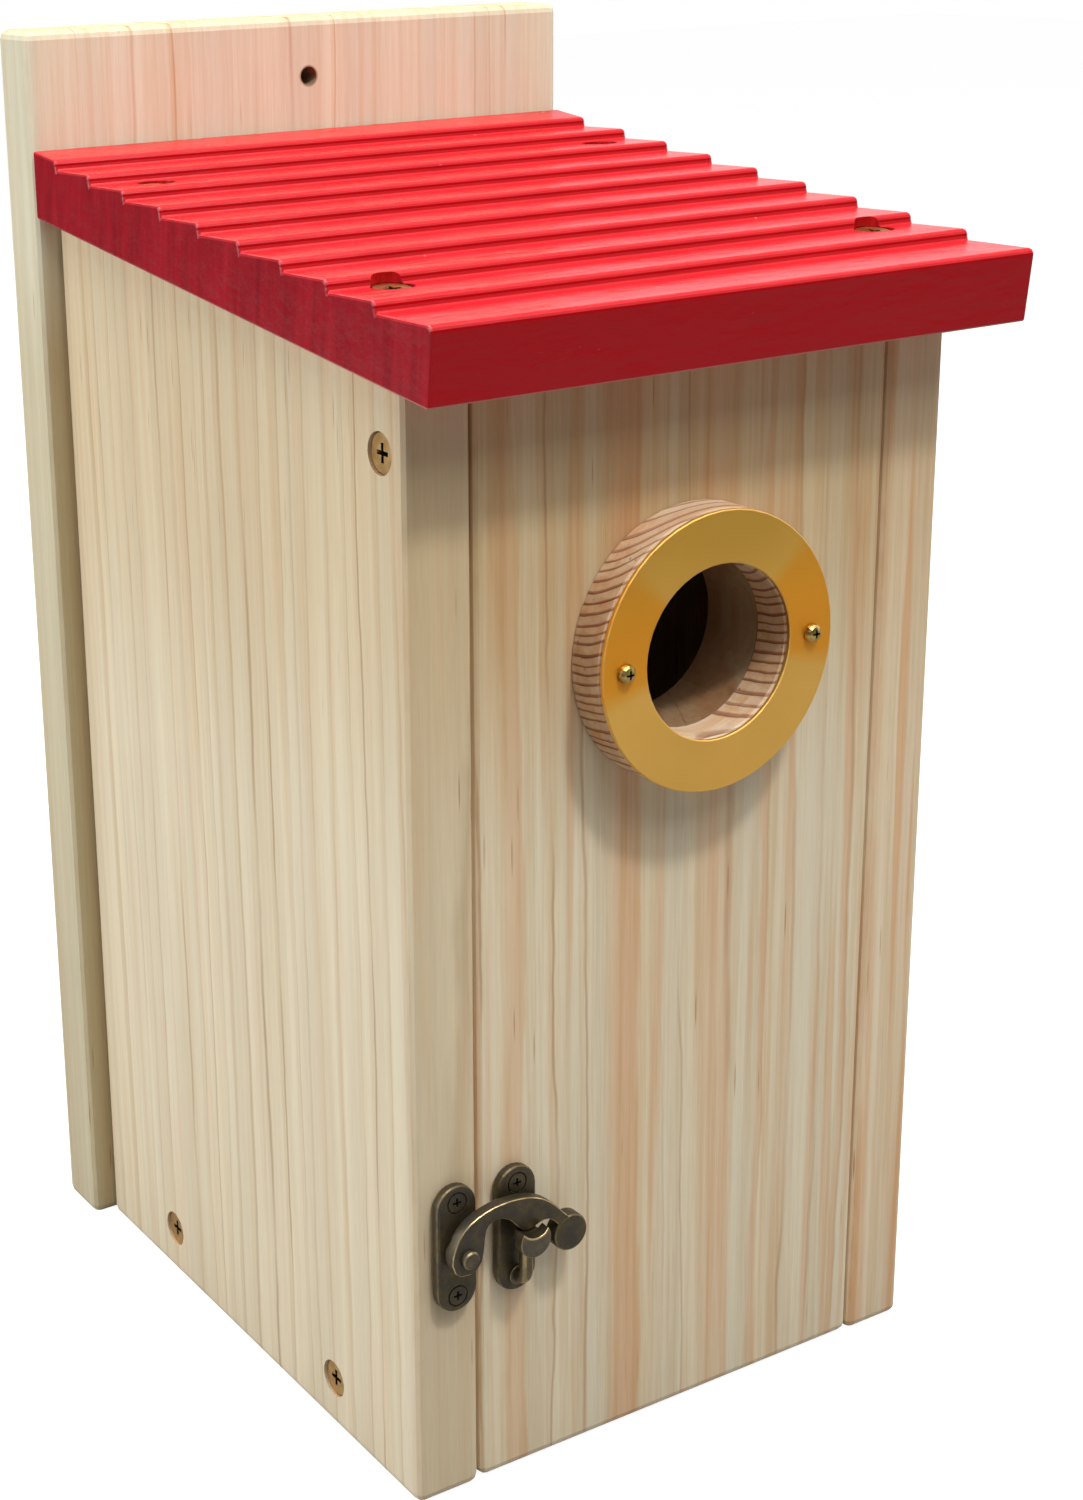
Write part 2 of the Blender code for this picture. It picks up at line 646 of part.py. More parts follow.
def make_latch_base(side_panel, mesh):
    """The plate on the side panel, its two screws, and the rivet that the arm turns on."""
    x = LATCH_PIVOT.x
    plate = latch_plate("latch_base_plate", x)
    fasten_latch("latch_base_screw_upper", mesh, x, LATCH_HEIGHT + LATCH_SCREW_RISE, plate, side_panel)
    fasten_latch("latch_base_screw_lower", mesh, x, LATCH_HEIGHT - LATCH_SCREW_RISE, plate, side_panel)
    shank, head = RIVET_DIAMETER / 2, RIVET_HEAD_DIAMETER / 2
    under_head = ARM_FRONT - RIVET_CLEARANCE
    foot = under_head - (FRONT - 2 * SEAT_GAP)
    edge = RIVET_HEAD_THICKNESS / 4
    profile = [
        (0.0, foot), (shank, foot), (shank, 0.0), (head, 0.0), (head, RIVET_HEAD_THICKNESS - edge),
        (head - edge, RIVET_HEAD_THICKNESS), (0.0, RIVET_HEAD_THICKNESS),
    ]
    rivet = turned("latch_rivet", profile, HOLE_STEPS, facing((x, under_head, LATCH_HEIGHT), (0.0, -1.0, 0.0)))
    add_finish(rivet, ANTIQUE_BRONZE)
    bore = RIVET_DIAMETER + 2 * RIVET_CLEARANCE
    hole = (x, LATCH_PLATE_FRONT, LATCH_HEIGHT)
    plain_hole("rivet_in_plate", bore, hole, (0.0, -1.0, 0.0), 2 * LATCH_PLATE_THICKNESS + CUT_OVERRUN, plate)


def blade_outline():
    """The curved blade: it arches over the catch and dips once to rest behind the catch's head."""
    def real(shares):
        return [(LATCH_PIVOT.x + ARM_REACH * u, LATCH_HEIGHT + ARM_REACH * v) for u, v in shares]
    return smooth_curve(real(BLADE_TOP_SHARES), CURVE_STEPS) + smooth_curve(real(BLADE_UNDER_SHARES), CURVE_STEPS)


def make_arm():
    """The horn-shaped arm: a boss on the rivet, a curved blade and a thumb knob at its end."""
    outline, front = blade_outline(), ARM_FRONT + ARM_STEP
    arm = prism("latch_arm", outline, front + ARM_THICKNESS, front, across_y, math.radians(50))
    add_round(arm, ARM_ROUND, SMALL_ROUND_STEPS, math.radians(50))
    boss_radius, thick, edge = ARM_BOSS_DIAMETER / 2, ARM_BOSS_THICKNESS / 2, ARM_ROUND
    boss_profile = [
        (0.0, -thick), (boss_radius - edge, -thick), (boss_radius, edge - thick),
        (boss_radius, thick - edge), (boss_radius - edge, thick), (0.0, thick),
    ]
    boss = turned("arm_boss", boss_profile, HOLE_STEPS, facing(LATCH_PIVOT, (0.0, -1.0, 0.0)))
    tip_radius, bulge = ARM_TIP_DIAMETER / 2, ARM_TIP_THICKNESS / 2
    turns = [math.pi * (step / HOLE_STEPS * 2 - 0.5) for step in range(HOLE_STEPS // 2 + 1)]
    tip_profile = [(tip_radius * math.cos(turn), bulge * math.sin(turn)) for turn in turns]
    tip_profile[0], tip_profile[-1] = (0.0, -bulge), (0.0, bulge)
    tip_place = LATCH_PIVOT + Vector((ARM_REACH, 0.0, -ARM_TIP_DROP))
    tip = turned("arm_tip", tip_profile, HOLE_STEPS, facing(tip_place, (0.0, -1.0, 0.0)))
    for shape in (boss, tip):
        add_boolean(arm, as_helper(shape), "UNION")
    bore = RIVET_DIAMETER + 2 * RIVET_CLEARANCE
    plain_hole("rivet_in_arm", bore, LATCH_PIVOT, (0.0, -1.0, 0.0), ARM_BOSS_THICKNESS + CUT_OVERRUN, arm)
    add_finish(arm, ANTIQUE_BRONZE)
    return arm


def catch_head_place():
    """The middle of the catch's head, at its back: just in front of the arm, whose dip rests in its saddle."""
    dip = min(v for _, v in BLADE_UNDER_SHARES[3:-2]) * ARM_REACH
    z = LATCH_HEIGHT + dip - SEAT_GAP - (CATCH_HEAD_DIAMETER / 2 - SADDLE_DEPTH)
    return Vector((CATCH_X, ARM_FRONT - CATCH_HEAD_CLEARANCE, z))


def bent_bar(name, path, radius):
    """A round bar that follows a path in the plane of Y and Z."""
    bm = bmesh.new()
    rings = []
    for before, here, after in zip([path[0], *path], path, [*path[1:], path[-1]]):
        along = (after - before).normalized()
        across = Vector((1.0, 0.0, 0.0)).cross(along)
        turns = [math.tau * step / SCREW_STEPS for step in range(SCREW_STEPS)]
        rim = [Vector((math.cos(turn), 0.0, 0.0)) + across * math.sin(turn) for turn in turns]
        rings.append([bm.verts.new(here + spot * radius) for spot in rim])
    for ring, following in zip(rings, rings[1:]):
        for index in range(SCREW_STEPS):
            corners = (ring[index], ring[index - 1], following[index - 1], following[index])
            bm.faces.new(corners)
    bm.faces.new(rings[0])
    bm.faces.new(rings[-1])
    return object_of(name, bm, math.radians(50))


def post_path(root, head):
    """Straight out of the plate, round a bend and straight up to the head."""
    out = LATCH_PLATE_FRONT - POST_REACH
    centre = Vector((root.x, out + POST_BEND_RADIUS, root.z + POST_BEND_RADIUS))
    turns = [math.pi / 2 * step / POST_STEPS for step in range(POST_STEPS + 1)]
    bend = [centre - POST_BEND_RADIUS * Vector((0.0, math.sin(turn), math.cos(turn))) for turn in turns]
    return [root, *bend, Vector((root.x, out, head.z))]


def make_catch_post():
    """The catch: a bent bar riveted in the plate, with a round head whose top is scooped like a saddle."""
    head = catch_head_place()
    root = Vector((CATCH_X, FRONT - SEAT_GAP - LATCH_PLATE_THICKNESS / 4, LATCH_HEIGHT - LATCH_SCREW_RISE))
    post = bent_bar("catch_post", post_path(root, head), POST_DIAMETER / 2)
    radius, neck, edge = CATCH_HEAD_DIAMETER / 2, CATCH_NECK_DIAMETER / 2, CATCH_HEAD_ROUND
    behind = ARM_BOSS_THICKNESS / 2 + CATCH_HEAD_CLEARANCE + ARM_THICKNESS / 2
    profile = [
        (0.0, -behind), (neck, -behind), (neck, 0.0), (radius - edge, 0.0), (radius, edge),
        (radius, CATCH_HEAD_THICKNESS - edge), (radius - edge, CATCH_HEAD_THICKNESS),
        (0.0, CATCH_HEAD_THICKNESS + edge),
    ]
    disc = turned("catch_head", profile, HOLE_STEPS, facing(head, (0.0, -1.0, 0.0)))
    collar_front = LATCH_PLATE_FRONT - RIVET_CLEARANCE - POST_ROOT_HEIGHT
    collar_profile = [(0.0, 0.0), (POST_ROOT_DIAMETER / 2, 0.0), (POST_ROOT_DIAMETER / 2, POST_ROOT_HEIGHT),
                      (0.0, POST_ROOT_HEIGHT)]
    collar_place = (root.x, collar_front + POST_ROOT_HEIGHT, root.z)
    collar = turned("post_collar", collar_profile, HOLE_STEPS, facing(collar_place, (0.0, -1.0, 0.0)))
    saddle_centre = head + Vector((0.0, 0.0, radius + SADDLE_DIAMETER / 2 - SADDLE_DEPTH))
    for shape in (disc, collar):
        add_boolean(post, as_helper(shape), "UNION")
    plain_hole("saddle", SADDLE_DIAMETER, saddle_centre, (0.0, -1.0, 0.0), 4 * CATCH_HEAD_THICKNESS, post)
    add_finish(post, ANTIQUE_BRONZE)
    return post


def make_catch(door, mesh):
    """The plate on the door with its screw, and the post riveted through its lower end."""
    plate = latch_plate("catch_plate", CATCH_X)
    screw = fasten_latch("catch_screw", mesh, CATCH_X, LATCH_HEIGHT + LATCH_SCREW_RISE, plate, door)
    post = make_catch_post()
    bore = POST_DIAMETER + 2 * RIVET_CLEARANCE
    hole = (CATCH_X, LATCH_PLATE_FRONT, LATCH_HEIGHT - LATCH_SCREW_RISE)
    plain_hole("post_in_plate", bore, hole, (0.0, -1.0, 0.0), 2 * LATCH_PLATE_THICKNESS + CUT_OVERRUN, plate)
    return [plate, screw, post]


def main():
    clear_scene()
    back, floor, roof, door = make_back_board(), make_floor(), make_roof(), make_door()
    sides = (make_side("left_side_panel", -1), make_side("right_side_panel", 1))
    ring, guard = make_ring(), make_guard()
    wood_screw = screw_mesh("wood_screw", WOOD_SCREW, countersunk_profile(WOOD_SCREW), 0.0)
    latch_screw = screw_mesh("latch_screw", LATCH_SCREW, countersunk_profile(LATCH_SCREW), 0.0)
    fasten_floor(sides, floor, wood_screw)
    fasten_roof(sides, roof, wood_screw)
    fasten_back(sides, back, wood_screw)
    moving = [door, ring, guard]
    moving += fasten_guard(ring, guard, door)
    moving += fasten_door(sides, door, wood_screw)
    make_latch_base(sides[0], latch_screw)
    moving += make_catch(door, latch_screw)
    hang_on(pivot_empty("door_pivot", DOOR_PIVOT), moving)
    hang_on(pivot_empty("latch_pivot", LATCH_PIVOT), [make_arm()])


main()
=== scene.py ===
# %% [markdown]
# # A wooden nest box, dressed for its picture
#
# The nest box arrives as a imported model: every board, screw and latch part already has its real size and place.
# What is left to do here is what a finisher and a photographer would do: give the wood its grain, the roof its paint
# and the brass its shine, model the small parts whose form rewards a closer look, and set up the camera and lights.

import math

import bmesh
import bpy
from mathutils import Matrix, Vector


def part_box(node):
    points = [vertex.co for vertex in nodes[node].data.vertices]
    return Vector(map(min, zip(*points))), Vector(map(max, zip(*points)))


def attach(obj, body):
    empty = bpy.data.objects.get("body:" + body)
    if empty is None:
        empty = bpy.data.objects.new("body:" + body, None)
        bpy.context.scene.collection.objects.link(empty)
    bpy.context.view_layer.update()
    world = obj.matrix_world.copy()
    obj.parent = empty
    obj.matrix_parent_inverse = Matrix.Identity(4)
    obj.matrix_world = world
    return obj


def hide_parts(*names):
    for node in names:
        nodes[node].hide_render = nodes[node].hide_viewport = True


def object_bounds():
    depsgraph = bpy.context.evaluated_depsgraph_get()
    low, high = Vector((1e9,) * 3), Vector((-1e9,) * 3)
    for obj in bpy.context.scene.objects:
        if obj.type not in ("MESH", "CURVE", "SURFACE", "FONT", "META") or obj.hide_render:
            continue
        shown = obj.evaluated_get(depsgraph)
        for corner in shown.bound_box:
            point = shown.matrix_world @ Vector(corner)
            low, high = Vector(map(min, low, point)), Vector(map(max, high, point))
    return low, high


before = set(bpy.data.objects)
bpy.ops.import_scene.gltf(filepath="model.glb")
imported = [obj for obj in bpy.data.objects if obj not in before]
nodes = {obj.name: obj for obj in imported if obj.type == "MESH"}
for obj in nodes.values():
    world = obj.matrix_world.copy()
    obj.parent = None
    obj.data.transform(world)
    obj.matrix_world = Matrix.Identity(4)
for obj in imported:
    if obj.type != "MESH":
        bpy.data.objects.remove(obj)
cad_low, cad_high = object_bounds()
MM = 0.001
print("pieces in the packed model:", len(nodes))
print("size in mm:", [round((high - low) / MM, 1) for low, high in zip(cad_low, cad_high)])

# %% [markdown]
# ## The camera
#
# The photograph looks down on the box from its left. Three angles turn the camera, and the lens and the shift place
# the box in the frame. A shift moves the picture without turning the camera, so upright edges lean as they should.

# %% Set up the camera
PICTURE_HEIGHT = 1500
PICTURE_SHIFT = (200 / PICTURE_HEIGHT, -100 / PICTURE_HEIGHT)
SENSOR_WIDTH = 36.0
LENS_LENGTH = SENSOR_WIDTH * 2440.93 / PICTURE_HEIGHT
CAMERA_YAW, CAMERA_PITCH, CAMERA_ROLL = math.radians(30.777), math.radians(17.302), math.radians(-1.396)
CAMERA_PLACE = Vector((-289.83, -423.865, 312.93)) * MM


def camera_turn(yaw, pitch, roll):
    """The camera's axes in the world: right, up, and back away from what it looks at."""
    ahead = Vector((math.sin(yaw) * math.cos(pitch), math.cos(yaw) * math.cos(pitch), -math.sin(pitch)))
    level = Vector((math.cos(yaw), -math.sin(yaw), 0.0))
    upright = level.cross(ahead)
    right = math.cos(roll) * level + math.sin(roll) * upright
    up = -math.sin(roll) * level + math.cos(roll) * upright
    return Matrix((right, up, -ahead)).transposed()


camera = bpy.data.objects.new("camera", bpy.data.cameras.new("camera"))
bpy.context.scene.collection.objects.link(camera)
camera.matrix_world = Matrix.Translation(CAMERA_PLACE) @ camera_turn(CAMERA_YAW, CAMERA_PITCH, CAMERA_ROLL).to_4x4()
camera.data.sensor_width = SENSOR_WIDTH
camera.data.lens = LENS_LENGTH
camera.data.shift_x, camera.data.shift_y = PICTURE_SHIFT
bpy.context.scene.camera = camera
print("lens in mm:", round(camera.data.lens, 1))

# %% [markdown]
# ## Soft studio light
#
# The real picture has a soft shadow under the roof, a bright left side and very bright roof treads. That takes a
# smallish soft box high in front and wide ones above the front, overhead, at the left, at the upper left and at the
# right. One more stands behind at the right, for the sheen along rounded edges, and the room itself gives hardly any
# light. Each soft box is given by the side it stands on and its height above the horizon, as a photographer would say
# it, and then by its distance and size in metres and its power in watts.

# %% Hang the soft boxes
STUDIO_MIDDLE = Vector((0.0, 0.0, 0.13))
WHITE = (1.0, 1.0, 1.0, 1.0)


def soft_box(name, side, height, distance, size, watts):
    """An area light aimed at the box. Side is in degrees from the front towards the left, height above the horizon."""
    side, height = math.radians(side), math.radians(height)
    out = Vector((-math.sin(side) * math.cos(height), -math.cos(side) * math.cos(height), math.sin(height)))
    light = bpy.data.lights.new(name, "AREA")
    light.shape = "SQUARE"
    light.size = size
    light.energy = watts
    lamp = bpy.data.objects.new(name, light)
    lamp.location = STUDIO_MIDDLE + out * distance
    lamp.rotation_euler = (-out).to_track_quat("-Z", "Y").to_euler()
    bpy.context.scene.collection.objects.link(lamp)


soft_box("light_key", side=-3, height=59, distance=1.2, size=0.11, watts=6.4)
soft_box("light_upper_front", side=0, height=64, distance=1.2, size=1.1, watts=11.8)
soft_box("light_overhead", side=180, height=75, distance=1.2, size=0.6, watts=7.5)
soft_box("light_left", side=112, height=18, distance=1.2, size=0.7, watts=8.4)
soft_box("light_upper_left", side=100, height=66, distance=1.2, size=0.8, watts=5.0)
soft_box("light_right", side=-80, height=20, distance=1.3, size=0.8, watts=3.4)
soft_box("light_sheen", side=-146, height=18, distance=1.6, size=1.3, watts=3.8)

room = bpy.data.worlds.new("room")
bpy.context.scene.world = room
room.use_nodes = True
room.node_tree.nodes["Background"].inputs["Color"].default_value = WHITE
bpy.context.scene.view_settings.view_transform = "Standard"

# %% [markdown]
# ## Short words for node graphs
#
# A material is a chain of small steps. These helpers keep each step on one line: one feeds a socket with a plain
# value or with another node's output, one adds a node, and the rest are names for the steps that come up often.

# %% Helpers that build node graphs
def feed(tree, socket, value):
    """Give a socket a plain value, or link another node's output to it."""
    if isinstance(value, bpy.types.NodeSocket):
        tree.links.new(value, socket)
    else:
        socket.default_value = value


def add_node(tree, kind, inputs=None, **settings):
    """Add a node with its settings, feed its inputs by name or number, and return its outputs."""
    node = tree.nodes.new(kind)
    for name, value in settings.items():
        setattr(node, name, value)
    for key, value in (inputs or {}).items():
        feed(tree, node.inputs[key], value)
    return node.outputs


def calc(tree, operation, *values):
    return add_node(tree, "ShaderNodeMath", dict(enumerate(values)), operation=operation)[0]


def calc_vector(tree, operation, *values):
    return add_node(tree, "ShaderNodeVectorMath", dict(enumerate(values)), operation=operation)[0]


def between(tree, value, low, high, to_low=0.0, to_high=1.0):
    """Rise softly from to_low to to_high while the value goes from low to high."""
    inputs = {"Value": value, "From Min": low, "From Max": high, "To Min": to_low, "To Max": to_high}
    return add_node(tree, "ShaderNodeMapRange", inputs, interpolation_type="SMOOTHSTEP")[0]


def opposite(tree, mask):
    """One where the mask is zero, and zero where it is one."""
    return calc(tree, "SUBTRACT", 1.0, mask)


def parts(tree, vector):
    """The X, Y and Z of a vector."""
    return add_node(tree, "ShaderNodeSeparateXYZ", {0: vector})


def length(tree, vector):
    return add_node(tree, "ShaderNodeVectorMath", {0: vector}, operation="LENGTH")[1]


def blend(tree, amount, first, second):
    return add_node(tree, "ShaderNodeMix", {0: amount, 6: first, 7: second}, data_type="RGBA")[2]


def shade(tree, color, amount):
    """Make a colour lighter or darker by a number that changes over the surface."""
    return add_node(tree, "ShaderNodeVectorMath", {0: color, "Scale": amount}, operation="SCALE")[0]


# %% [markdown]
# Three kinds of chance come up in wood, paint and metal: soft clouds, soft changes along one number such as a
# distance, and small spots strewn about. Clouds and spots have a stretch for each axis, because everything in wood is
# long drawn out along its fibres. A stretch of 1000 gives clouds a millimetre long, and 10 clouds of 100 millimetres.

# %% Helpers for chance
def noise(tree, place, stretch, seed, detail=2.0, rough=0.5):
    """Soft clouds whose size along each axis is one over the stretch."""
    shift = seed if isinstance(seed, bpy.types.NodeSocket) else (seed, seed, seed)
    moved = calc_vector(tree, "MULTIPLY_ADD", place, stretch, shift)
    inputs = {"Vector": moved, "Scale": 1.0, "Detail": detail, "Roughness": rough}
    return add_node(tree, "ShaderNodeTexNoise", inputs)[0]


def noise_along(tree, distance, detail):
    """Soft changes along a single number."""
    inputs = {"W": distance, "Scale": 1.0, "Detail": detail}
    return add_node(tree, "ShaderNodeTexNoise", inputs, noise_dimensions="1D")[0]


def spots(tree, place, stretch, seed, size, share):
    """One in each small spot and zero elsewhere. Size and share each give where a soft limit begins and ends."""
    moved = calc_vector(tree, "MULTIPLY_ADD", place, stretch, seed)
    cells = add_node(tree, "ShaderNodeTexVoronoi", {"Vector": moved, "Scale": 1.0})
    picked = between(tree, add_node(tree, "ShaderNodeSeparateColor", {0: cells[1]})[0], *share)
    return calc(tree, "MULTIPLY", opposite(tree, between(tree, cells[0], *size)), picked)


# %% [markdown]
# ## Node groups for the wood
#
# A board is cut from a log, so its grain is worked out in the solid log and the board only shows where it was cut.
# Measured from the pith, the growth rings are steps of distance. Each ring begins pale and soft, darkens towards its
# end and stops sharply, which gives pine its one-sided stripes. Rings differ in width and strength, and they wander.

# %% A helper that starts a node group
FLOAT, COLOR = "NodeSocketFloat", "NodeSocketColor"
SOCKET_KINDS = {1: FLOAT, 3: "NodeSocketVector", 4: COLOR}


def new_group(name, takes, gives):
    """An empty node group. Takes maps each input to its default value, gives maps each output to its socket type."""
    tree = bpy.data.node_groups.new(name, "ShaderNodeTree")
    for label, value in takes.items():
        kind = SOCKET_KINDS[len(value) if isinstance(value, tuple) else 1]
        tree.interface.new_socket(label, in_out="INPUT", socket_type=kind).default_value = value
    for label, kind in gives.items():
        tree.interface.new_socket(label, in_out="OUTPUT", socket_type=kind)
    return tree, tree.nodes.new("NodeGroupInput").outputs, tree.nodes.new("NodeGroupOutput").inputs


# %% Node group, growth rings: count the rings from the pith
RING_TAKES = {"Place": (0.0, 0.0, 0.0), "Seed": 0.0, "Ring Width": 0.0045, "Wander": 0.003, "Even": 0.0}
tree, take, give = new_group("growth rings", RING_TAKES, {"Late": FLOAT, "Line": FLOAT, "Band": FLOAT})
place, seed, even = take["Place"], take["Seed"], take["Even"]
uneven = opposite(tree, even)
long_wander = calc(tree, "SUBTRACT", noise(tree, place, (45.0, 45.0, 5.0), seed), 0.5)
short_wander = calc(tree, "SUBTRACT", noise(tree, place, (70.0, 70.0, 24.0), seed, 3.0, 0.6), 0.5)
wander = calc(tree, "MULTIPLY", calc(tree, "MULTIPLY_ADD", short_wander, 0.55, long_wander), take["Wander"])
from_pith = length(tree, calc_vector(tree, "MULTIPLY", place, (1.0, 1.0, 0.0)))
even_count = calc(tree, "DIVIDE", calc(tree, "ADD", from_pith, wander), take["Ring Width"])
season = noise_along(tree, calc(tree, "MULTIPLY_ADD", even_count, 0.31, seed), 1.0)
drift = calc(tree, "MULTIPLY", calc(tree, "SUBTRACT", season, 0.5), uneven)
count = calc(tree, "MULTIPLY_ADD", drift, 2.4, even_count)
ring = calc(tree, "FLOOR", count)
grown = calc(tree, "FRACT", count)
luck = add_node(tree, "ShaderNodeTexWhiteNoise", {"W": calc(tree, "ADD", ring, seed)}, noise_dimensions="1D")[1]
luck = add_node(tree, "ShaderNodeSeparateColor", {0: luck})
print("nodes that count the rings:", len(tree.nodes))

# %% Node group, growth rings: darken the late wood
LATE_PEAK = 0.62
strength = calc(tree, "MAXIMUM", calc(tree, "POWER", luck[1], 1.6), even)
half_width = calc(tree, "MULTIPLY_ADD", calc(tree, "MULTIPLY", luck[0], uneven), 0.26, 0.14)
from_late = calc(tree, "ABSOLUTE", calc(tree, "SUBTRACT", grown, LATE_PEAK))
softness = between(tree, grown, LATE_PEAK - 0.02, LATE_PEAK + 0.02, 0.1, 0.65)
outside = between(tree, calc(tree, "DIVIDE", from_late, half_width), softness, 1.0)
feed(tree, give["Late"], calc(tree, "MULTIPLY", opposite(tree, outside), strength))
line_place = calc(tree, "MULTIPLY_ADD", half_width, 0.75, LATE_PEAK)
from_line = calc(tree, "ABSOLUTE", calc(tree, "SUBTRACT", grown, line_place))
fading = noise(tree, place, (170.0, 170.0, 15.0), seed, 1.0)
chosen = calc(tree, "MAXIMUM", between(tree, luck[2], 0.3, 0.9), even)
chosen = calc(tree, "MULTIPLY", chosen, calc(tree, "MAXIMUM", between(tree, fading, 0.36, 0.6), even))
feed(tree, give["Line"], calc(tree, "MULTIPLY", opposite(tree, between(tree, from_line, 0.012, 0.085)), chosen))
band = noise_along(tree, calc(tree, "MULTIPLY_ADD", count, 0.5, seed), 2.0)
feed(tree, give["Band"], between(tree, band, 0.44, 0.60))
growth_rings = tree
print("growth rings:", len(tree.nodes), "nodes")

# %% [markdown]
# The pine itself adds what the rings lack. Broad bands drift between cream and a greyer cream, blushes of pink and
# orange run along the board, fine fibres give it texture, and short dark dashes are the resin canals that the saw
# opened. End grain is darker because the cut fibres swallow light, and rounded edges are paler where they were sanded.
# High up under the roof the pine is painted darker and more golden, as shade.

# %% Node group, sawn pine: its inputs and its rings
PINE_TAKES = {**RING_TAKES, "Cream": (0.74, 0.60, 0.42, 1.0), "Tan": (0.62, 0.37, 0.19, 1.0),
              "Blush": (0.70, 0.42, 0.22, 1.0), "Brown": (0.44, 0.23, 0.10, 1.0), "Contrast": 0.8, "Lines": 0.6,
              "Blushes": 0.5, "Bands": 0.5, "Streaks": 1.0, "Painted Shade": 0.0, "End": 0.0, "Bore Shade": 0.0, "Edge": 0.0}
tree, take, give = new_group("sawn pine", PINE_TAKES, {"Color": COLOR, "Roughness": FLOAT, "Height": FLOAT})
place, seed = take["Place"], take["Seed"]
rings = tree.nodes.new("ShaderNodeGroup")
rings.node_tree = growth_rings
for label in RING_TAKES:
    feed(tree, rings.inputs[label], take[label])
late, line, band = rings.outputs
print("inputs of the sawn pine:", len(PINE_TAKES))

# %% Node group, sawn pine: patterns that run along the fibres
broad = noise(tree, place, (110.0, 110.0, 5.0), seed, 1.0)
flush = between(tree, noise(tree, place, (270.0, 270.0, 6.0), seed, 2.0), 0.54, 0.66)
streak = noise(tree, place, (420.0, 420.0, 6.0), seed, 5.0, 0.75)
fibre = noise(tree, place, (3800.0, 3800.0, 90.0), seed, 3.0, 0.65)
dash = spots(tree, place, (640.0, 640.0, 32.0), seed, size=(0.06, 0.17), share=(0.62, 0.92))
print("nodes with the patterns:", len(tree.nodes))

# %% Node group, sawn pine: colour from the pale wood up
def tinted(tree, color, tint):
    """A colour times a tint. Tints under one darken, and less blue than red makes the wood warmer."""
    return calc_vector(tree, "MULTIPLY", color, tint)


cream, end = take["Cream"], take["End"]
color = blend(tree, between(tree, broad, 0.35, 0.65), cream, tinted(tree, cream, (0.92, 0.91, 0.91)))
color = blend(tree, calc(tree, "MULTIPLY", band, take["Bands"]), color, tinted(tree, cream, (0.97, 0.86, 0.75)))
color = blend(tree, calc(tree, "MULTIPLY", flush, take["Blushes"]), color, take["Blush"])
darkening = calc(tree, "MULTIPLY", late, calc(tree, "MULTIPLY_ADD", end, 0.35, take["Contrast"]))
color = blend(tree, darkening, color, take["Tan"])
drawn_lines = calc(tree, "MULTIPLY", line, calc(tree, "MAXIMUM", take["Lines"], end))
color = blend(tree, drawn_lines, color, take["Brown"])
paler, warmer = tinted(tree, color, (1.02, 1.02, 1.03)), tinted(tree, color, (0.93, 0.84, 0.74))
color = blend(tree, calc(tree, "MULTIPLY", between(tree, streak, 0.38, 0.66), take["Streaks"]), paler, warmer)
color = shade(tree, color, between(tree, fibre, 0.2, 0.8, 0.95, 1.04))
color = blend(tree, calc(tree, "MULTIPLY", dash, 0.75), color, take["Brown"])
print("nodes with the grain's colours:", len(tree.nodes))

# %% Node group, sawn pine: ends, painted shade under the roof and in bored holes, and sanded edges
SANDED = (0.84, 0.73, 0.52, 1.0)
color = blend(tree, end, color, tinted(tree, color, (0.86, 0.76, 0.66)))
# Painted shade: darker, more golden wood high under the roof and on forward faces below it.
color = blend(tree, take["Painted Shade"], color, tinted(tree, color, (0.80, 0.70, 0.55)))
# Painted shade on the walls of the bored holes.
bore_shade = calc(tree, "MULTIPLY", take["Bore Shade"], 0.85)
color = blend(tree, bore_shade, color, tinted(tree, color, (0.42, 0.33, 0.27)))
feed(tree, give["Color"], blend(tree, calc(tree, "MULTIPLY", take["Edge"], 0.12), color, SANDED))
rough = calc(tree, "MULTIPLY_ADD", late, -0.12, calc(tree, "MULTIPLY_ADD", fibre, 0.16, 0.52))
feed(tree, give["Roughness"], calc(tree, "MULTIPLY_ADD", end, 0.15, rough))
feed(tree, give["Height"], calc(tree, "MULTIPLY_ADD", dash, -0.8, calc(tree, "MULTIPLY", fibre, 0.5)))
sawn_pine = tree
print("sawn pine:", len(tree.nodes), "nodes")

# %% [markdown]
# A board's edges are where it was sanded and handled. The edge group knows the board's lowest and highest corners:
# a point is near an edge when it is close to two of the six sides at once, so the second smallest distance decides.

# %% Node group: board edges
EDGE_TAKES = {"Place": (0.0, 0.0, 0.0), "Low": (0.0, 0.0, 0.0), "High": (1.0, 1.0, 1.0), "Width": 0.0016}
tree, take, give = new_group("board edges", EDGE_TAKES, {"Edge": FLOAT})
above = calc_vector(tree, "SUBTRACT", take["Place"], take["Low"])
below = calc_vector(tree, "SUBTRACT", take["High"], take["Place"])
gap = parts(tree, calc_vector(tree, "MINIMUM", above, below))
lesser = calc(tree, "MINIMUM", gap[0], gap[1])
greater = calc(tree, "MAXIMUM", gap[0], gap[1])
second = calc(tree, "MAXIMUM", lesser, calc(tree, "MINIMUM", greater, gap[2]))
patchy = noise(tree, take["Place"], (160.0, 160.0, 160.0), 3.0)
reach = calc(tree, "MULTIPLY", take["Width"], between(tree, patchy, 0.3, 0.7, 0.5, 1.2))
feed(tree, give["Edge"], opposite(tree, between(tree, calc(tree, "DIVIDE", second, reach), 0.3, 1.0)))
board_edges = tree
print("board edges:", len(tree.nodes), "nodes")

# %% [markdown]
# ## Pine for each board
#
# Each board came from another place in the log, so each gets its own material from the same group: its own pith,
# ring width and tint. The pith is given in millimetres. A Mapping node turns the log so that its fibres run along the
# group's Z axis and its pith lies on it. The two turns let the grain lean a little, as it does in the photograph.

# %% Helpers for materials
def new_material(name):
    material = bpy.data.materials.new(name)
    material.use_nodes = True
    return material, material.node_tree, material.node_tree.nodes["Principled BSDF"]


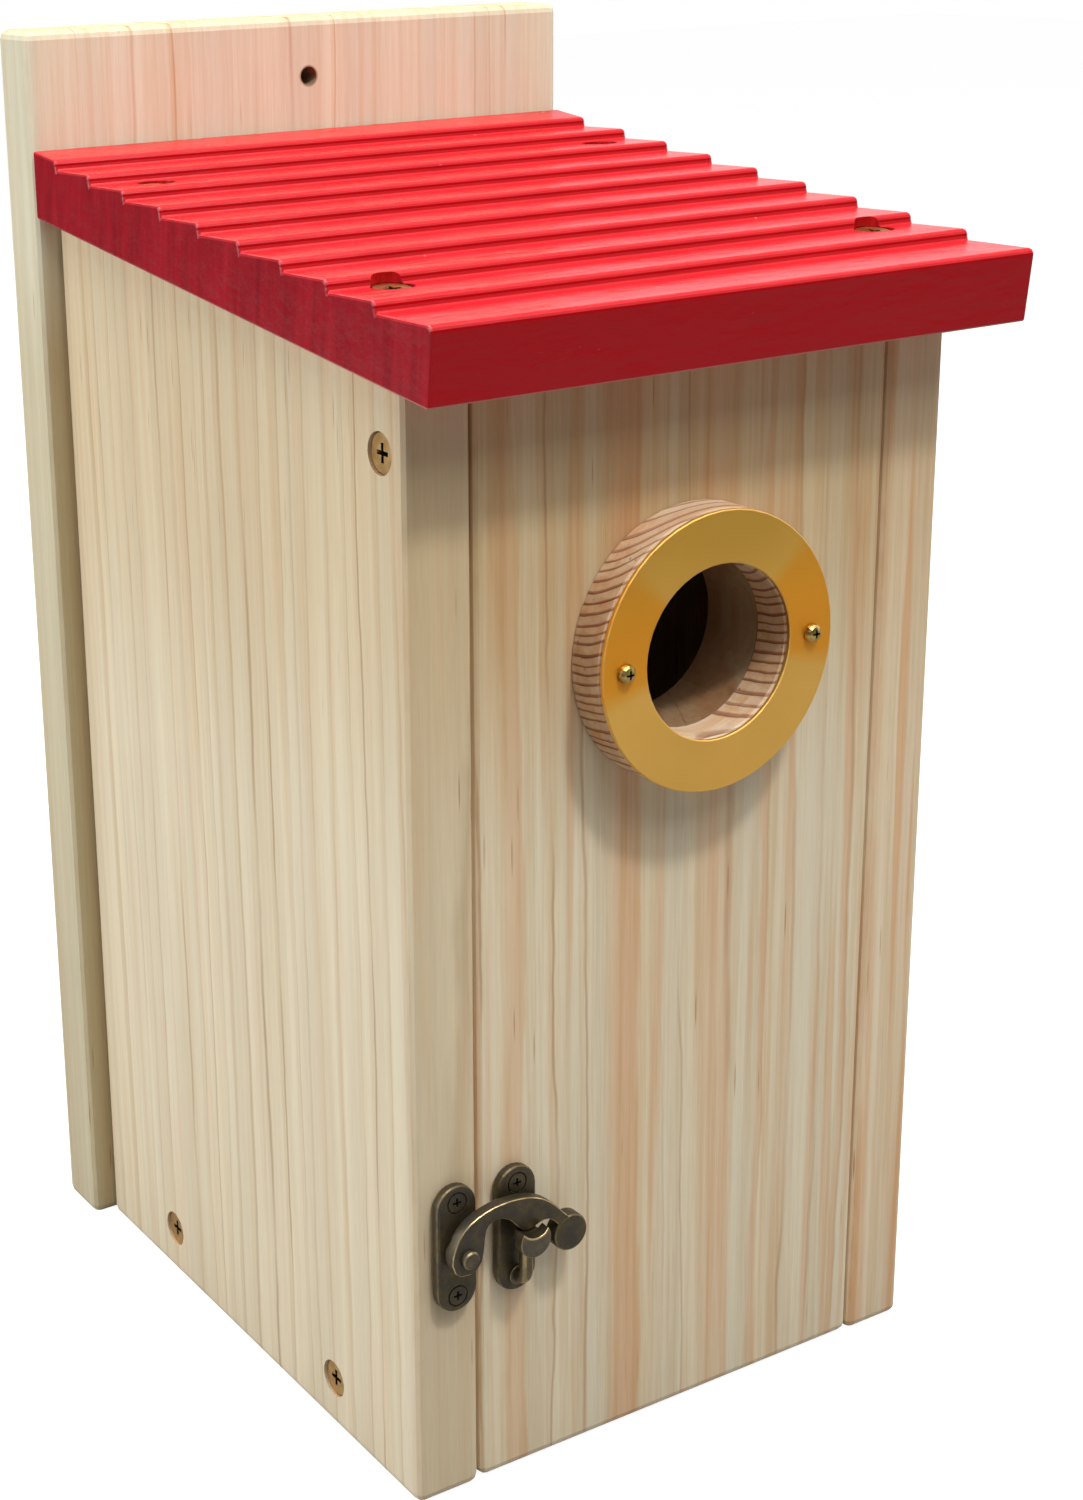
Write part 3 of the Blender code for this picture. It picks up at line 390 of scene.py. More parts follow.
def place_group(tree, group, values):
    """Place a node group in a material with its own values, and return its outputs."""
    node = tree.nodes.new("ShaderNodeGroup")
    node.node_tree = group
    for label, value in values.items():
        feed(tree, node.inputs[label], value)
    return node.outputs


def add_bump(tree, surface, height, distance):
    bump = add_node(tree, "ShaderNodeBump", {"Height": height, "Distance": distance, "Strength": 1.0})
    feed(tree, surface.inputs["Normal"], bump[0])


def cover(material, names):
    """Give CAD nodes a finish through their own material slots."""
    for name in names:
        nodes[name].data.materials.clear()
        nodes[name].data.materials.append(material)
    print(material.name, "on", ", ".join(names))


# %% Turn the log and find the bored holes
ENTRANCE_MIDDLE = sum(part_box("entrance_guard"), Vector()) / 2
ENTRANCE_RADIUS = 17.5 * MM
HANGING_HOLE = Vector((0.0, 0.0, cad_high.z - 13.2 * MM))
HANGING_HOLE_RADIUS = 2.1 * MM
BORED_HOLES = {"front_door": (ENTRANCE_MIDDLE, ENTRANCE_RADIUS), "back_board": (HANGING_HOLE, HANGING_HOLE_RADIUS)}


def log_mapping(fibre, pith, lean):
    """The turn and shift that bring a log with fibres along X or Z onto the Z axis, with its pith at (0, 0)."""
    if fibre == "X":
        return (0.0, math.radians(-90 + lean[0]), math.radians(lean[1])), (pith[1] * MM, -pith[0] * MM, 0.0)
    return (math.radians(lean[0]), math.radians(lean[1]), 0.0), (-pith[0] * MM, -pith[1] * MM, 0.0)


def bore_shade_mask(tree, place, middle, radius):
    """One on the wall of a hole bored along Y, where the wood is painted darker as shade, and zero elsewhere."""
    across = calc_vector(tree, "MULTIPLY", calc_vector(tree, "SUBTRACT", place, middle), (1.0, 0.0, 1.0))
    return opposite(tree, between(tree, length(tree, across), radius + 0.1 * MM, radius + 0.5 * MM))


print("bored holes:", ", ".join(BORED_HOLES))

# %% [markdown]
# Three numbers say where a board is painted darker and more golden, as shade. Roof shade is for the wood high up
# under the roof. Edge shade is for the faces below the roof that look forwards on a board seen mostly edge on, and
# side share is how much of that the board's other faces get.

# %% A material for one pine board
def pine_board(name, node_name, fibre, pith, lean, seed, roof_shade=0.0, edge_shade=0.0, side_share=0.0, **looks):
    """Pine for one board: fibre is the axis its fibres run along, pith where the log's middle is across that axis."""
    material, tree, surface = new_material(name)
    sources = add_node(tree, "ShaderNodeTexCoord")
    turn, shift = log_mapping(fibre, pith, lean)
    place = add_node(tree, "ShaderNodeMapping", {"Vector": sources["Object"], "Location": shift, "Rotation": turn})[0]
    along = tuple(float(axis == fibre) for axis in "XYZ")
    facing = add_node(tree, "ShaderNodeVectorMath", {0: sources["Normal"], 1: along}, operation="DOT_PRODUCT")[1]
    end = between(tree, calc(tree, "ABSOLUTE", facing), 0.45, 0.9)
    low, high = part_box(node_name)
    edge = place_group(tree, board_edges, {"Place": sources["Object"], "Low": low, "High": high})[0]
    high_up = parts(tree, sources["Object"])[2]
    # Painted shade high up, rising from 125 to 200 mm up.
    shade_amount = calc(tree, "MULTIPLY", between(tree, high_up, 125.0 * MM, 200.0 * MM), roof_shade)
    if edge_shade:
        # Painted shade on faces that look forwards, below the roof.
        forwards = calc(tree, "MULTIPLY", parts(tree, sources["Normal"])[1], -1.0)
        under_roof = opposite(tree, between(tree, high_up, 205.0 * MM, 245.0 * MM))
        forward_shade = calc(tree, "MULTIPLY", between(tree, forwards, 0.5, 0.9, side_share, 1.0), under_roof)
        shade_amount = calc(tree, "MULTIPLY_ADD", forward_shade, edge_shade, shade_amount)
    values = {"Place": place, "Seed": seed, "End": end, "Edge": edge, "Painted Shade": shade_amount, **looks}
    if node_name in BORED_HOLES:
        values["Bore Shade"] = bore_shade_mask(tree, sources["Object"], *BORED_HOLES[node_name])
    color, rough, height = place_group(tree, sawn_pine, values)
    feed(tree, surface.inputs["Base Color"], color)
    feed(tree, surface.inputs["Roughness"], rough)
    surface.inputs["Specular IOR Level"].default_value = 0.35
    add_bump(tree, surface, height, 0.05 * MM)
    cover(material, [node_name])


# %% Cut the six boards
PALE = (0.765, 0.685, 0.50, 1.0)
ROSY = (0.76, 0.64, 0.455, 1.0)
GOLDEN = (0.67, 0.41, 0.22, 1.0)
pine_board("pine_front", "front_door", "Z", pith=(-95.0, -20.0), lean=(0.25, 0.4), seed=3.1, roof_shade=0.9, **{
    "Ring Width": 0.0075, "Cream": PALE, "Tan": GOLDEN, "Contrast": 0.85, "Lines": 0.55, "Blushes": 0.45,
    "Bands": 0.4, "Wander": 0.0055})
pine_board("pine_left", "left_side_panel", "Z", pith=(-30.0, 150.0), lean=(0.8, 0.2), seed=7.7, roof_shade=0.5,
           edge_shade=0.4, **{
    "Ring Width": 0.0062, "Cream": PALE, "Tan": (0.63, 0.51, 0.33, 1.0), "Brown": (0.42, 0.28, 0.15, 1.0),
    "Contrast": 0.7, "Lines": 0.7, "Blushes": 0.2, "Bands": 0.2, "Streaks": 0.45, "Even": 0.4, "Wander": 0.0042})
pine_board("pine_right", "right_side_panel", "Z", pith=(120.0, 40.0), lean=(-0.4, 0.3), seed=12.3, roof_shade=0.6, **{
    "Ring Width": 0.0048, "Cream": ROSY, "Tan": GOLDEN, "Lines": 0.7, "Blushes": 0.8, "Bands": 0.6})
pine_board("pine_back", "back_board", "Z", pith=(-120.0, 60.0), lean=(0.2, -0.4), seed=18.9, edge_shade=1.15,
           side_share=0.4, **{
    "Ring Width": 0.0050, "Cream": (0.67, 0.64, 0.48, 1.0), "Tan": (0.61, 0.48, 0.29, 1.0), "Lines": 0.5,
    "Blushes": 0.05, "Bands": 0.1, "Contrast": 0.7, "Streaks": 0.6, "Even": 0.2})
pine_board("pine_floor", "floor_board", "X", pith=(60.0, -70.0), lean=(0.3, 0.6), seed=23.5, **{
    "Ring Width": 0.0055, "Cream": PALE})
pine_board("pine_ring", "entrance_ring", "X", pith=(-66.0, 206.0), lean=(0.0, 0.0), seed=31.4, roof_shade=0.3, **{
    "Ring Width": 0.0019, "Cream": (0.76, 0.60, 0.43, 1.0), "Tan": (0.36, 0.15, 0.075, 1.0),
    "Brown": (0.15, 0.05, 0.025, 1.0), "Contrast": 0.95, "Lines": 1.0, "Wander": 0.0022, "Blushes": 0.6,
    "Bands": 0.6, "Even": 0.7})

# %% [markdown]
# ## The painted roof
#
# The roof is the same pine under two coats of glossy red. Paint levels out but never hides the board: the grain still
# lies under it as fine ridges along the fibres, it thins on the crests, which also get a painted highlight, runs a
# little, and catches dust as small pale specks. The ends and the front are painted a darker red, as shade, and the
# ends have upright soak marks.
# Along the bottom edge a pink line shows where the brush stopped.

# %% Node group, brushed paint: the coat and what lies in it
PAINT_TAKES = {"Place": (0.0, 0.0, 0.0), "Seed": 5.0, "Coat": (0.57, 0.011, 0.018, 1.0),
               "Shaded Red": (0.32, 0.0, 0.003, 1.0), "End": 0.0, "Soak": 0.0, "Thin And Lit": 0.0, "Bare": 0.0}
tree, take, give = new_group("brushed paint", PAINT_TAKES, {"Color": COLOR, "Roughness": FLOAT, "Height": FLOAT})
place, seed, end = take["Place"], take["Seed"], take["End"]
cloudy = noise(tree, place, (50.0, 90.0, 90.0), seed, 3.0)
grain = calc(tree, "SUBTRACT", noise(tree, place, (22.0, 1300.0, 1300.0), seed, 3.0, 0.6), 0.5)
grain = calc(tree, "MULTIPLY", grain, opposite(tree, end))
runs = noise(tree, place, (75.0, 210.0, 260.0), seed, 3.0, 0.55)
soaked = noise(tree, place, (420.0, 420.0, 45.0), seed, 3.0, 0.55)
speck = spots(tree, place, (260.0, 330.0, 330.0), seed, size=(0.04, 0.10), share=(0.8, 0.9))
speck = calc(tree, "MULTIPLY", speck, calc(tree, "MULTIPLY_ADD", end, -0.95, 1.0))
print("patterns in the paint:", len(tree.nodes), "nodes")

# %% Node group, brushed paint: colour, gloss and height
CRIMSON = (0.30, 0.006, 0.014, 1.0)
THIN_LIT_RED = (0.74, 0.10, 0.10, 1.0)
DUST_PINK = (0.75, 0.25, 0.24, 1.0)
BARE_PINK = (0.62, 0.20, 0.16, 1.0)
color = shade(tree, take["Coat"], between(tree, cloudy, 0.25, 0.75, 0.86, 1.12))
color = shade(tree, color, calc(tree, "MULTIPLY_ADD", grain, 0.12, 1.0))
# Painted shade: the front and the ends get a darker red, with upright soak marks on the ends.
marks = calc(tree, "MULTIPLY", calc(tree, "SUBTRACT", soaked, 0.5), take["Soak"])
shaded_end_red = blend(tree, take["Soak"], take["Shaded Red"], CRIMSON)
shaded_end_red = shade(tree, shaded_end_red, calc(tree, "MULTIPLY_ADD", marks, 1.1, 1.0))
color = blend(tree, end, color, shaded_end_red)
# Thinner paint and a painted highlight: a lighter red on the crests.
color = blend(tree, calc(tree, "MULTIPLY", take["Thin And Lit"], 0.15), color, THIN_LIT_RED)
color = blend(tree, calc(tree, "MULTIPLY", speck, 0.5), color, DUST_PINK)
feed(tree, give["Color"], blend(tree, take["Bare"], color, BARE_PINK))
rough = calc(tree, "MULTIPLY_ADD", runs, 0.2, calc(tree, "MULTIPLY_ADD", grain, 0.08, 0.13))
feed(tree, give["Roughness"], calc(tree, "MULTIPLY_ADD", take["Bare"], 0.3, rough))
height = calc(tree, "MULTIPLY_ADD", grain, 0.10, runs)
feed(tree, give["Height"], calc(tree, "MULTIPLY_ADD", speck, 0.5, height))
brushed_paint = tree
print("brushed paint:", len(tree.nodes), "nodes")

# %% [markdown]
# The roof board slopes, so its material first turns the coordinates into the board's own: X across, Y up the slope
# and Z square to its underside. In that frame the crests are where the surface turns over near the top, and the
# bottom edge is where Z is almost nothing.

# %% Turn the coordinates into the roof board's own
ROOF_RISE, ROOF_RUN = 14.96, 139.7
ROOF_TURN = (-math.atan2(ROOF_RISE, ROOF_RUN), 0.0, 0.0)
UNDERSIDE_START = Vector((0.0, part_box("left_side_panel")[0].y, 230.6 * MM))
material, tree, surface = new_material("brushed_red_paint")
sources = add_node(tree, "ShaderNodeTexCoord")
centred = calc_vector(tree, "SUBTRACT", sources["Object"], UNDERSIDE_START)
own = add_node(tree, "ShaderNodeMapping", {"Vector": centred, "Rotation": ROOF_TURN})[0]
own_normal = add_node(tree, "ShaderNodeMapping", {"Vector": sources["Normal"], "Rotation": ROOF_TURN},
                      vector_type="NORMAL")[0]
print("roof pitch in degrees:", round(-math.degrees(ROOF_TURN[0]), 1))

# %% Paint the roof board
out, at = parts(tree, own_normal), parts(tree, own)
end = between(tree, calc(tree, "ABSOLUTE", out[0]), 0.5, 0.9)
front = between(tree, calc(tree, "MULTIPLY", out[1], -1.0), 0.6, 0.98)
# Painted shade: the front and the ends are the faces that get the darker red.
shaded_faces = calc(tree, "MAXIMUM", calc(tree, "MULTIPLY", front, 0.92), end)
# The crests get thinner paint and a painted highlight.
crest = calc(tree, "MULTIPLY", between(tree, out[2], 0.15, 0.5), opposite(tree, between(tree, out[2], 0.9, 0.99)))
underside = between(tree, calc(tree, "MULTIPLY", out[2], -1.0), 0.5, 0.9)
stop_line = opposite(tree, between(tree, at[2], 0.2 * MM, 0.5 * MM))
stop_line = calc(tree, "MULTIPLY", stop_line, opposite(tree, underside))
values = {"Place": own, "End": shaded_faces, "Soak": end, "Thin And Lit": crest, "Bare": stop_line}
color, rough, height = place_group(tree, brushed_paint, values)
feed(tree, surface.inputs["Base Color"], color)
feed(tree, surface.inputs["Roughness"], rough)
surface.inputs["Specular IOR Level"].default_value = 0.25
add_bump(tree, surface, height, 0.28 * MM)
cover(material, ["roof_board"])

# %% [markdown]
# ## Metals
#
# Three metals are on the box: brass, yellow zinc and bronze. A flat face looks straight out along one axis and a side
# wall looks across it, so a rounded edge is simply where the normal does neither. On the bronze the rounded edges are
# lighter, partly from wear and partly as a painted highlight; on the brass they are a duller gold, painted shade that
# tones down their highlight. Narrow recesses are painted dark, as shade.

# %% Node group: rounded rims
RIM_TAKES = {"Normal": (0.0, 0.0, 1.0), "Face": (0.0, -1.0, 0.0), "Place": (0.0, 0.0, 0.0)}
tree, take, give = new_group("rounded rims", RIM_TAKES, {"Rim": FLOAT})
facing = add_node(tree, "ShaderNodeVectorMath", {0: take["Normal"], 1: take["Face"]}, operation="DOT_PRODUCT")[1]
facing = calc(tree, "ABSOLUTE", facing)
rounded = calc(tree, "MULTIPLY", between(tree, facing, 0.3, 0.6), opposite(tree, between(tree, facing, 0.8, 0.93)))
patchy = noise(tree, take["Place"], (420.0, 420.0, 420.0), 2.0, 3.0)
feed(tree, give["Rim"], calc(tree, "MULTIPLY", rounded, between(tree, patchy, 0.3, 0.6, 0.35, 1.0)))
rounded_rim_group = tree
print("rounded rims:", len(tree.nodes), "nodes")


def rounded_rims(tree, sources):
    """Where a piece's rounded rims are, from its own normals."""
    return place_group(tree, rounded_rim_group, {"Normal": sources["Normal"], "Place": sources["Object"]})[0]


def openness(tree, reach):
    """One on an open face, and less in a recess that is narrower than the reach."""
    sky = add_node(tree, "ShaderNodeAmbientOcclusion", {"Distance": reach}, samples=6, only_local=True)["AO"]
    return between(tree, sky, 0.4, 0.9)


# %% [markdown]
# The latch is bronze under a dark, mottled patina, and each piece of it has its own share of bright rims. On the knob
# the bright rims are weaker than elsewhere. The saddle is the scoop of the catch: its forward rim gets a painted
# highlight and its hollow is painted darker, as shade.

# %% Antique bronze
PATINA_DARK = (0.066, 0.057, 0.044, 1.0)
PATINA_BROWN = (0.120, 0.094, 0.050, 1.0)
LIT_WORN_BRONZE = (0.72, 0.55, 0.27, 1.0)
RECESS_SHADE_BLACK = (0.006, 0.005, 0.004, 1.0)


def quieter(tree, rim_mask, place, middle, reach):
    """Weaken the rim mask inside a ball round the middle, with a soft limit."""
    off = add_node(tree, "ShaderNodeVectorMath", {0: place, 1: middle}, operation="DISTANCE")[1]
    return calc(tree, "MULTIPLY", rim_mask, between(tree, off, reach - 0.3 * MM, reach + 0.3 * MM, 0.2, 1.0))


def saddle_highlight_and_shade(tree, rim_mask, sources, middle, radius):
    """Paint a highlight on the forward rim of a scoop round an axis along Y, and painted shade in its hollow."""
    from_axis = calc_vector(tree, "SUBTRACT", sources["Object"], middle)
    off = length(tree, calc_vector(tree, "MULTIPLY", from_axis, (1.0, 0.0, 1.0)))
    rim = opposite(tree, between(tree, off, radius + 0.2 * MM, radius + 0.45 * MM))
    forwards = between(tree, calc(tree, "MULTIPLY", parts(tree, sources["Normal"])[1], -1.0), 0.3, 0.6, 0.0, 0.9)
    hollow_shade = between(tree, off, radius + 0.05 * MM, radius + 0.2 * MM, 0.4, 1.0)
    return calc(tree, "MAXIMUM", rim_mask, calc(tree, "MULTIPLY", rim, forwards)), hollow_shade


def antique_bronze(name, rim_share, quiet=None, recess_shade_share=0.0, saddle=None, paler=1.0):
    """Bronze with a dark patina. Quiet is a middle and a reach, and saddle a middle and a radius."""
    material, tree, surface = new_material(name)
    sources = add_node(tree, "ShaderNodeTexCoord")
    rim_mask, hollow_shade = calc(tree, "MULTIPLY", rounded_rims(tree, sources), rim_share), 1.0
    if quiet:
        rim_mask = quieter(tree, rim_mask, sources["Object"], *quiet)
    if saddle:
        # Painted highlight on the saddle's forward rim, and painted shade in its hollow.
        rim_mask, hollow_shade = saddle_highlight_and_shade(tree, rim_mask, sources, *saddle)
    mottle = noise(tree, sources["Object"], (260.0, 260.0, 260.0), 4.0, 4.0, 0.6)
    fine = noise(tree, sources["Object"], (2600.0, 2600.0, 2600.0), 4.0, 3.0, 0.6)
    patina = blend(tree, between(tree, mottle, 0.3, 0.7), PATINA_DARK, PATINA_BROWN)
    patina = shade(tree, patina, between(tree, fine, 0.2, 0.8, 0.85 * paler, 1.15 * paler))
    # Lighter bronze on the rounded rims: partly wear, partly a painted highlight.
    color = blend(tree, rim_mask, shade(tree, patina, hollow_shade), LIT_WORN_BRONZE)
    # Painted shade: near black in narrow recesses.
    if recess_shade_share:
        recess_shade = opposite(tree, openness(tree, 0.9 * MM))
        color = blend(tree, calc(tree, "MULTIPLY", recess_shade, recess_shade_share), color, RECESS_SHADE_BLACK)
    feed(tree, surface.inputs["Base Color"], color)
    metallic = between(tree, mottle, 0.2, 0.6, 0.6, 0.8)
    feed(tree, surface.inputs["Metallic"], calc(tree, "MULTIPLY_ADD", rim_mask, 0.2, metallic))
    rough = calc(tree, "MULTIPLY_ADD", fine, 0.12, between(tree, mottle, 0.3, 0.7, 0.44, 0.32))
    feed(tree, surface.inputs["Roughness"], calc(tree, "MULTIPLY_ADD", rim_mask, -0.1, rough))
    add_bump(tree, surface, calc(tree, "MULTIPLY_ADD", fine, 0.5, mottle), 0.03 * MM)
    return material


# %% Finish the latch
arm_low, arm_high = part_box("latch_arm")
rivet_low, rivet_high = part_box("latch_rivet")
post_low, post_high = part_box("catch_post")
boss = Vector(((rivet_low.x + rivet_high.x) / 2, arm_low.y, (rivet_low.z + rivet_high.z) / 2))
knob = Vector((arm_high.x - 4.8 * MM, (arm_low.y + arm_high.y) / 2, arm_low.z + 4.0 * MM))
saddle = Vector(((post_low.x + post_high.x) / 2, post_low.y, boss.z + 5.1 * MM))
SADDLE_RADIUS = 3.75 * MM
bronze_arm = antique_bronze("bronze_arm", 1.0, quiet=(knob, 4.6 * MM))
bronze_catch = antique_bronze("bronze_catch", 0.6, saddle=(saddle, SADDLE_RADIUS), paler=1.6)
cover(antique_bronze("bronze_plates", 1.0), ["latch_base_plate", "catch_plate"])
cover(bronze_arm, ["latch_arm"])
cover(antique_bronze("bronze_rivet", 0.3, paler=1.3), ["latch_rivet"])
cover(bronze_catch, ["catch_post"])
cover(antique_bronze("bronze_screws", 0.2, recess_shade_share=0.9),
      ["latch_base_screw_upper", "latch_base_screw_lower", "catch_screw"])

# %% [markdown]
# The plate round the entrance is brass, brushed in circles, so its fine lines and its gloss both run round the
# middle. Brushed metal gathers the light in two opposite fans, and here that reflection is painted into the colour
# as two fans of warmer gold, a little off level.

# %% Gold for the entrance plate
GOLD_DEEP, GOLD_LIGHT = (0.84, 0.475, 0.09, 1.0), (0.88, 0.50, 0.105, 1.0)
GOLD_WARM = (0.88, 0.33, 0.006, 1.0)
GOLD_SHADED_TOP = (0.62, 0.33, 0.03, 1.0)
GOLD_SHADED_RIM = (0.74, 0.45, 0.12, 1.0)
FAN_ACROSS, FAN_UP = 0.966, 0.26
material, tree, surface = new_material("brushed_brass")
sources = add_node(tree, "ShaderNodeTexCoord")
centred = calc_vector(tree, "SUBTRACT", sources["Object"], ENTRANCE_MIDDLE)
at = parts(tree, centred)
from_middle = length(tree, calc_vector(tree, "MULTIPLY", centred, (1.0, 0.0, 1.0)))
upwards = calc(tree, "MULTIPLY", at[2], FAN_UP)
sideways = calc(tree, "MULTIPLY_ADD", calc(tree, "ABSOLUTE", at[0]), FAN_ACROSS, upwards)
reflection_fan = between(tree, calc(tree, "DIVIDE", sideways, from_middle), 0.84, 0.94)
cloudy = noise(tree, centred, (60.0, 60.0, 60.0), 6.0, 3.0)
brushed = noise_along(tree, calc(tree, "MULTIPLY", from_middle, 9000.0), 3.0)
gold = blend(tree, between(tree, cloudy, 0.3, 0.7), GOLD_DEEP, GOLD_LIGHT)
# Painted reflection: two fans of warmer gold.
gold = blend(tree, calc(tree, "MULTIPLY", reflection_fan, 0.85), gold, GOLD_WARM)
gold = shade(tree, gold, between(tree, brushed, 0.2, 0.8, 0.95, 1.04))
# Painted shade: the upper part of the plate turns a darker, browner gold.
gold = blend(tree, between(tree, at[2], 4.0 * MM, 24.0 * MM, 0.0, 0.6), gold, GOLD_SHADED_TOP)
print("gold:", len(tree.nodes), "nodes")

# %% Gloss for the entrance plate
rim_mask = rounded_rims(tree, sources)
# Painted shade on the rounded rim: a duller gold that tones down its highlight.
feed(tree, surface.inputs["Base Color"], blend(tree, rim_mask, gold, GOLD_SHADED_RIM))
surface.inputs["Metallic"].default_value = 0.65
rough = calc(tree, "MULTIPLY_ADD", brushed, 0.14, 0.36)
feed(tree, surface.inputs["Roughness"], calc(tree, "MULTIPLY_ADD", rim_mask, 0.2, rough))
surface.inputs["Anisotropic"].default_value = 0.5
feed(tree, surface.inputs["Tangent"], add_node(tree, "ShaderNodeTangent", direction_type="RADIAL", axis="Y")[0])
add_bump(tree, surface, brushed, 0.01 * MM)
cover(material, ["entrance_guard"])

# %% [markdown]
# The wood screws are zinc plated and dyed yellow. The dye is mottled, and their recesses are painted dark as shade.

# %% Yellow zinc for the screws
def yellow_zinc(name, dull, bright, rough):
    material, tree, surface = new_material(name)
    sources = add_node(tree, "ShaderNodeTexCoord")
    mottle = noise(tree, sources["Object"], (500.0, 500.0, 500.0), 8.0, 3.0)
    zinc = blend(tree, between(tree, mottle, 0.3, 0.7), dull, bright)
    # Painted shade: near black in narrow recesses, such as the crosses of the heads.
    color = blend(tree, openness(tree, 1.4 * MM), (0.03, 0.018, 0.010, 1.0), zinc)
    feed(tree, surface.inputs["Base Color"], color)
    surface.inputs["Metallic"].default_value = 1.0
    feed(tree, surface.inputs["Roughness"], calc(tree, "MULTIPLY_ADD", mottle, 0.2, rough))
    add_bump(tree, surface, mottle, 0.02 * MM)
    return material


wood_screws = [name for name in nodes if name.split("_")[0] in ("door", "roof", "floor", "back") and "screw" in name]
cover(yellow_zinc("wood_screw_zinc", (0.62, 0.36, 0.12, 1.0), (0.74, 0.50, 0.22, 1.0), 0.24), wood_screws)
cover(yellow_zinc("guard_screw_zinc", (0.36, 0.24, 0.07, 1.0), (0.66, 0.48, 0.17, 1.0), 0.22),
      ["guard_screw_left", "guard_screw_right"])

# %% [markdown]
# ## The swing arm, shaped by hand
#
# The latch arm is a small casting with soft edges, and light runs along them as a thin bright line. A finer arm
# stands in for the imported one. Its outline is a ribbon: one quad at the foot of the boss, whose leading edge is then
# extruded from station to station round the boss, over the arch, through the dip that rests in the catch, and on into
# the thumb knob.

# %% Helpers for shaping a piece by hand
def deselect_all():
    bpy.ops.object.select_all(action="DESELECT")


def start_shape(name, add, **settings):
    """Add a primitive with nothing else selected, fix its place in its mesh and open it for editing."""
    deselect_all()
    add(**settings)
    shape = bpy.context.object
    shape.name = name
    bpy.ops.object.transform_apply(location=True, rotation=True, scale=True)
    bpy.ops.object.mode_set(mode="EDIT")
    return shape


def select_near(shape, places, reach=0.01 * MM):
    """In edit mode, select the vertices within reach of the places, and the edges and faces between them."""
    bpy.ops.mesh.select_mode(type="VERT")
    bpy.ops.mesh.select_all(action="DESELECT")
    mesh = bmesh.from_edit_mesh(shape.data)
    for vertex in mesh.verts:
        vertex.select = any((vertex.co - place).length < reach for place in places)
    mesh.select_flush_mode()
    bmesh.update_edit_mesh(shape.data)


def move_point(shape, place, target):
    select_near(shape, [place])
    bpy.ops.transform.translate(value=target - place)


def round_edges(shape, width):
    """Round the sharp edges of the active piece and smooth the rest."""
    edges = shape.modifiers.new("rounded_edges", "BEVEL")
    edges.width, edges.segments, edges.angle_limit = width, 4, math.radians(50)
    bpy.ops.object.modifier_apply(modifier=edges.name)
    bpy.ops.object.shade_smooth_by_angle(angle=math.radians(35))


def close_shape(shape, round_width):
    """Leave edit mode with clean outward normals, and round the edges unless they are still to be cut."""
    bpy.ops.mesh.select_all(action="SELECT")
    bpy.ops.mesh.normals_make_consistent(inside=False)
    bpy.ops.object.mode_set(mode="OBJECT")
    if round_width:
        round_edges(shape, round_width)


# %% The stations of the arm, and where each one is
ARM_STATIONS = (
    ((-1.75, -3.70), (0.35, -3.95)), ((-3.20, -2.40), (2.25, -3.25)), ((-3.75, -0.50), (3.40, -1.70)),
    ((-3.55, 1.25), (3.80, 0.20)), ((-3.02, 2.75), (3.98, 1.75)), ((-2.30, 4.40), (4.12, 3.20)),
    ((-1.15, 5.85), (4.45, 4.70)), ((0.45, 7.15), (5.10, 5.60)), ((2.30, 8.10), (5.95, 6.10)),
    ((4.20, 8.75), (7.00, 6.26)), ((6.10, 9.17), (8.05, 6.10)), ((8.00, 9.36), (9.10, 5.70)),
    ((9.90, 9.38), (10.20, 4.88)), ((11.40, 9.29), (11.30, 3.70)), ((12.70, 9.14), (12.35, 2.50)),
    ((13.90, 8.92), (13.40, 1.68)), ((15.10, 8.62), (14.50, 1.50)), ((16.30, 8.22), (15.60, 1.72)),
    ((17.40, 7.70), (16.70, 2.20)), ((18.50, 7.05), (17.80, 2.50)), ((19.60, 6.25), (18.90, 2.47)),
    ((20.70, 5.25), (19.90, 2.05)), ((21.75, 4.15), (20.85, 1.25)), ((22.70, 3.10), (21.70, 0.15)),
    ((23.60, 2.15), (22.50, -1.20)), ((24.60, 1.20), (23.40, -2.80)),
)
ARM_FRONT = arm_low.y + 0.7 * MM
ARM_THICKNESS = 2.6 * MM


def station(number):
    return [Vector((boss.x + across * MM, ARM_FRONT, boss.z + up * MM)) for across, up in ARM_STATIONS[number]]


print("stations:", len(ARM_STATIONS))

# %% Extrude the arm's ribbon from station to station
first, second_pair = station(0), station(1)
middle = sum(first + second_pair, Vector()) / 4
arm = start_shape("swing_arm", bpy.ops.mesh.primitive_plane_add, size=2 * MM, location=middle,
                  rotation=(math.pi / 2, 0.0, 0.0))
corners = [Vector((middle.x + x * MM, middle.y, middle.z + z * MM)) for x, z in ((-1, -1), (1, -1), (-1, 1), (1, 1))]
for corner, target in zip(corners, first + second_pair):
    move_point(arm, corner, target)
for number in range(2, len(ARM_STATIONS)):
    before, after = station(number - 1), station(number)
    select_near(arm, before)
    bpy.ops.mesh.select_mode(type="EDGE")
    bpy.ops.mesh.extrude_edges_move(TRANSFORM_OT_translate={"value": after[0] - before[0]})
    move_point(arm, before[1] + after[0] - before[0], after[1])
print("arm outline:", len(bmesh.from_edit_mesh(arm.data).faces), "faces")

# %% Thicken the ribbon
bpy.ops.mesh.select_mode(type="FACE")
bpy.ops.mesh.select_all(action="SELECT")
bpy.ops.mesh.extrude_region_move(TRANSFORM_OT_translate={"value": (0.0, ARM_THICKNESS, 0.0)})
close_shape(arm, 0.45 * MM)
print("arm, rounded:", len(arm.data.polygons), "faces")

# %% [markdown]
# The boss reaches back to its plate, and the knob is a thick disc, a little proud of the arm on both faces. Each
# starts as a filled circle that is extruded to its thickness. Then the three become one casting, and a bored hole
# lets the rivet through.

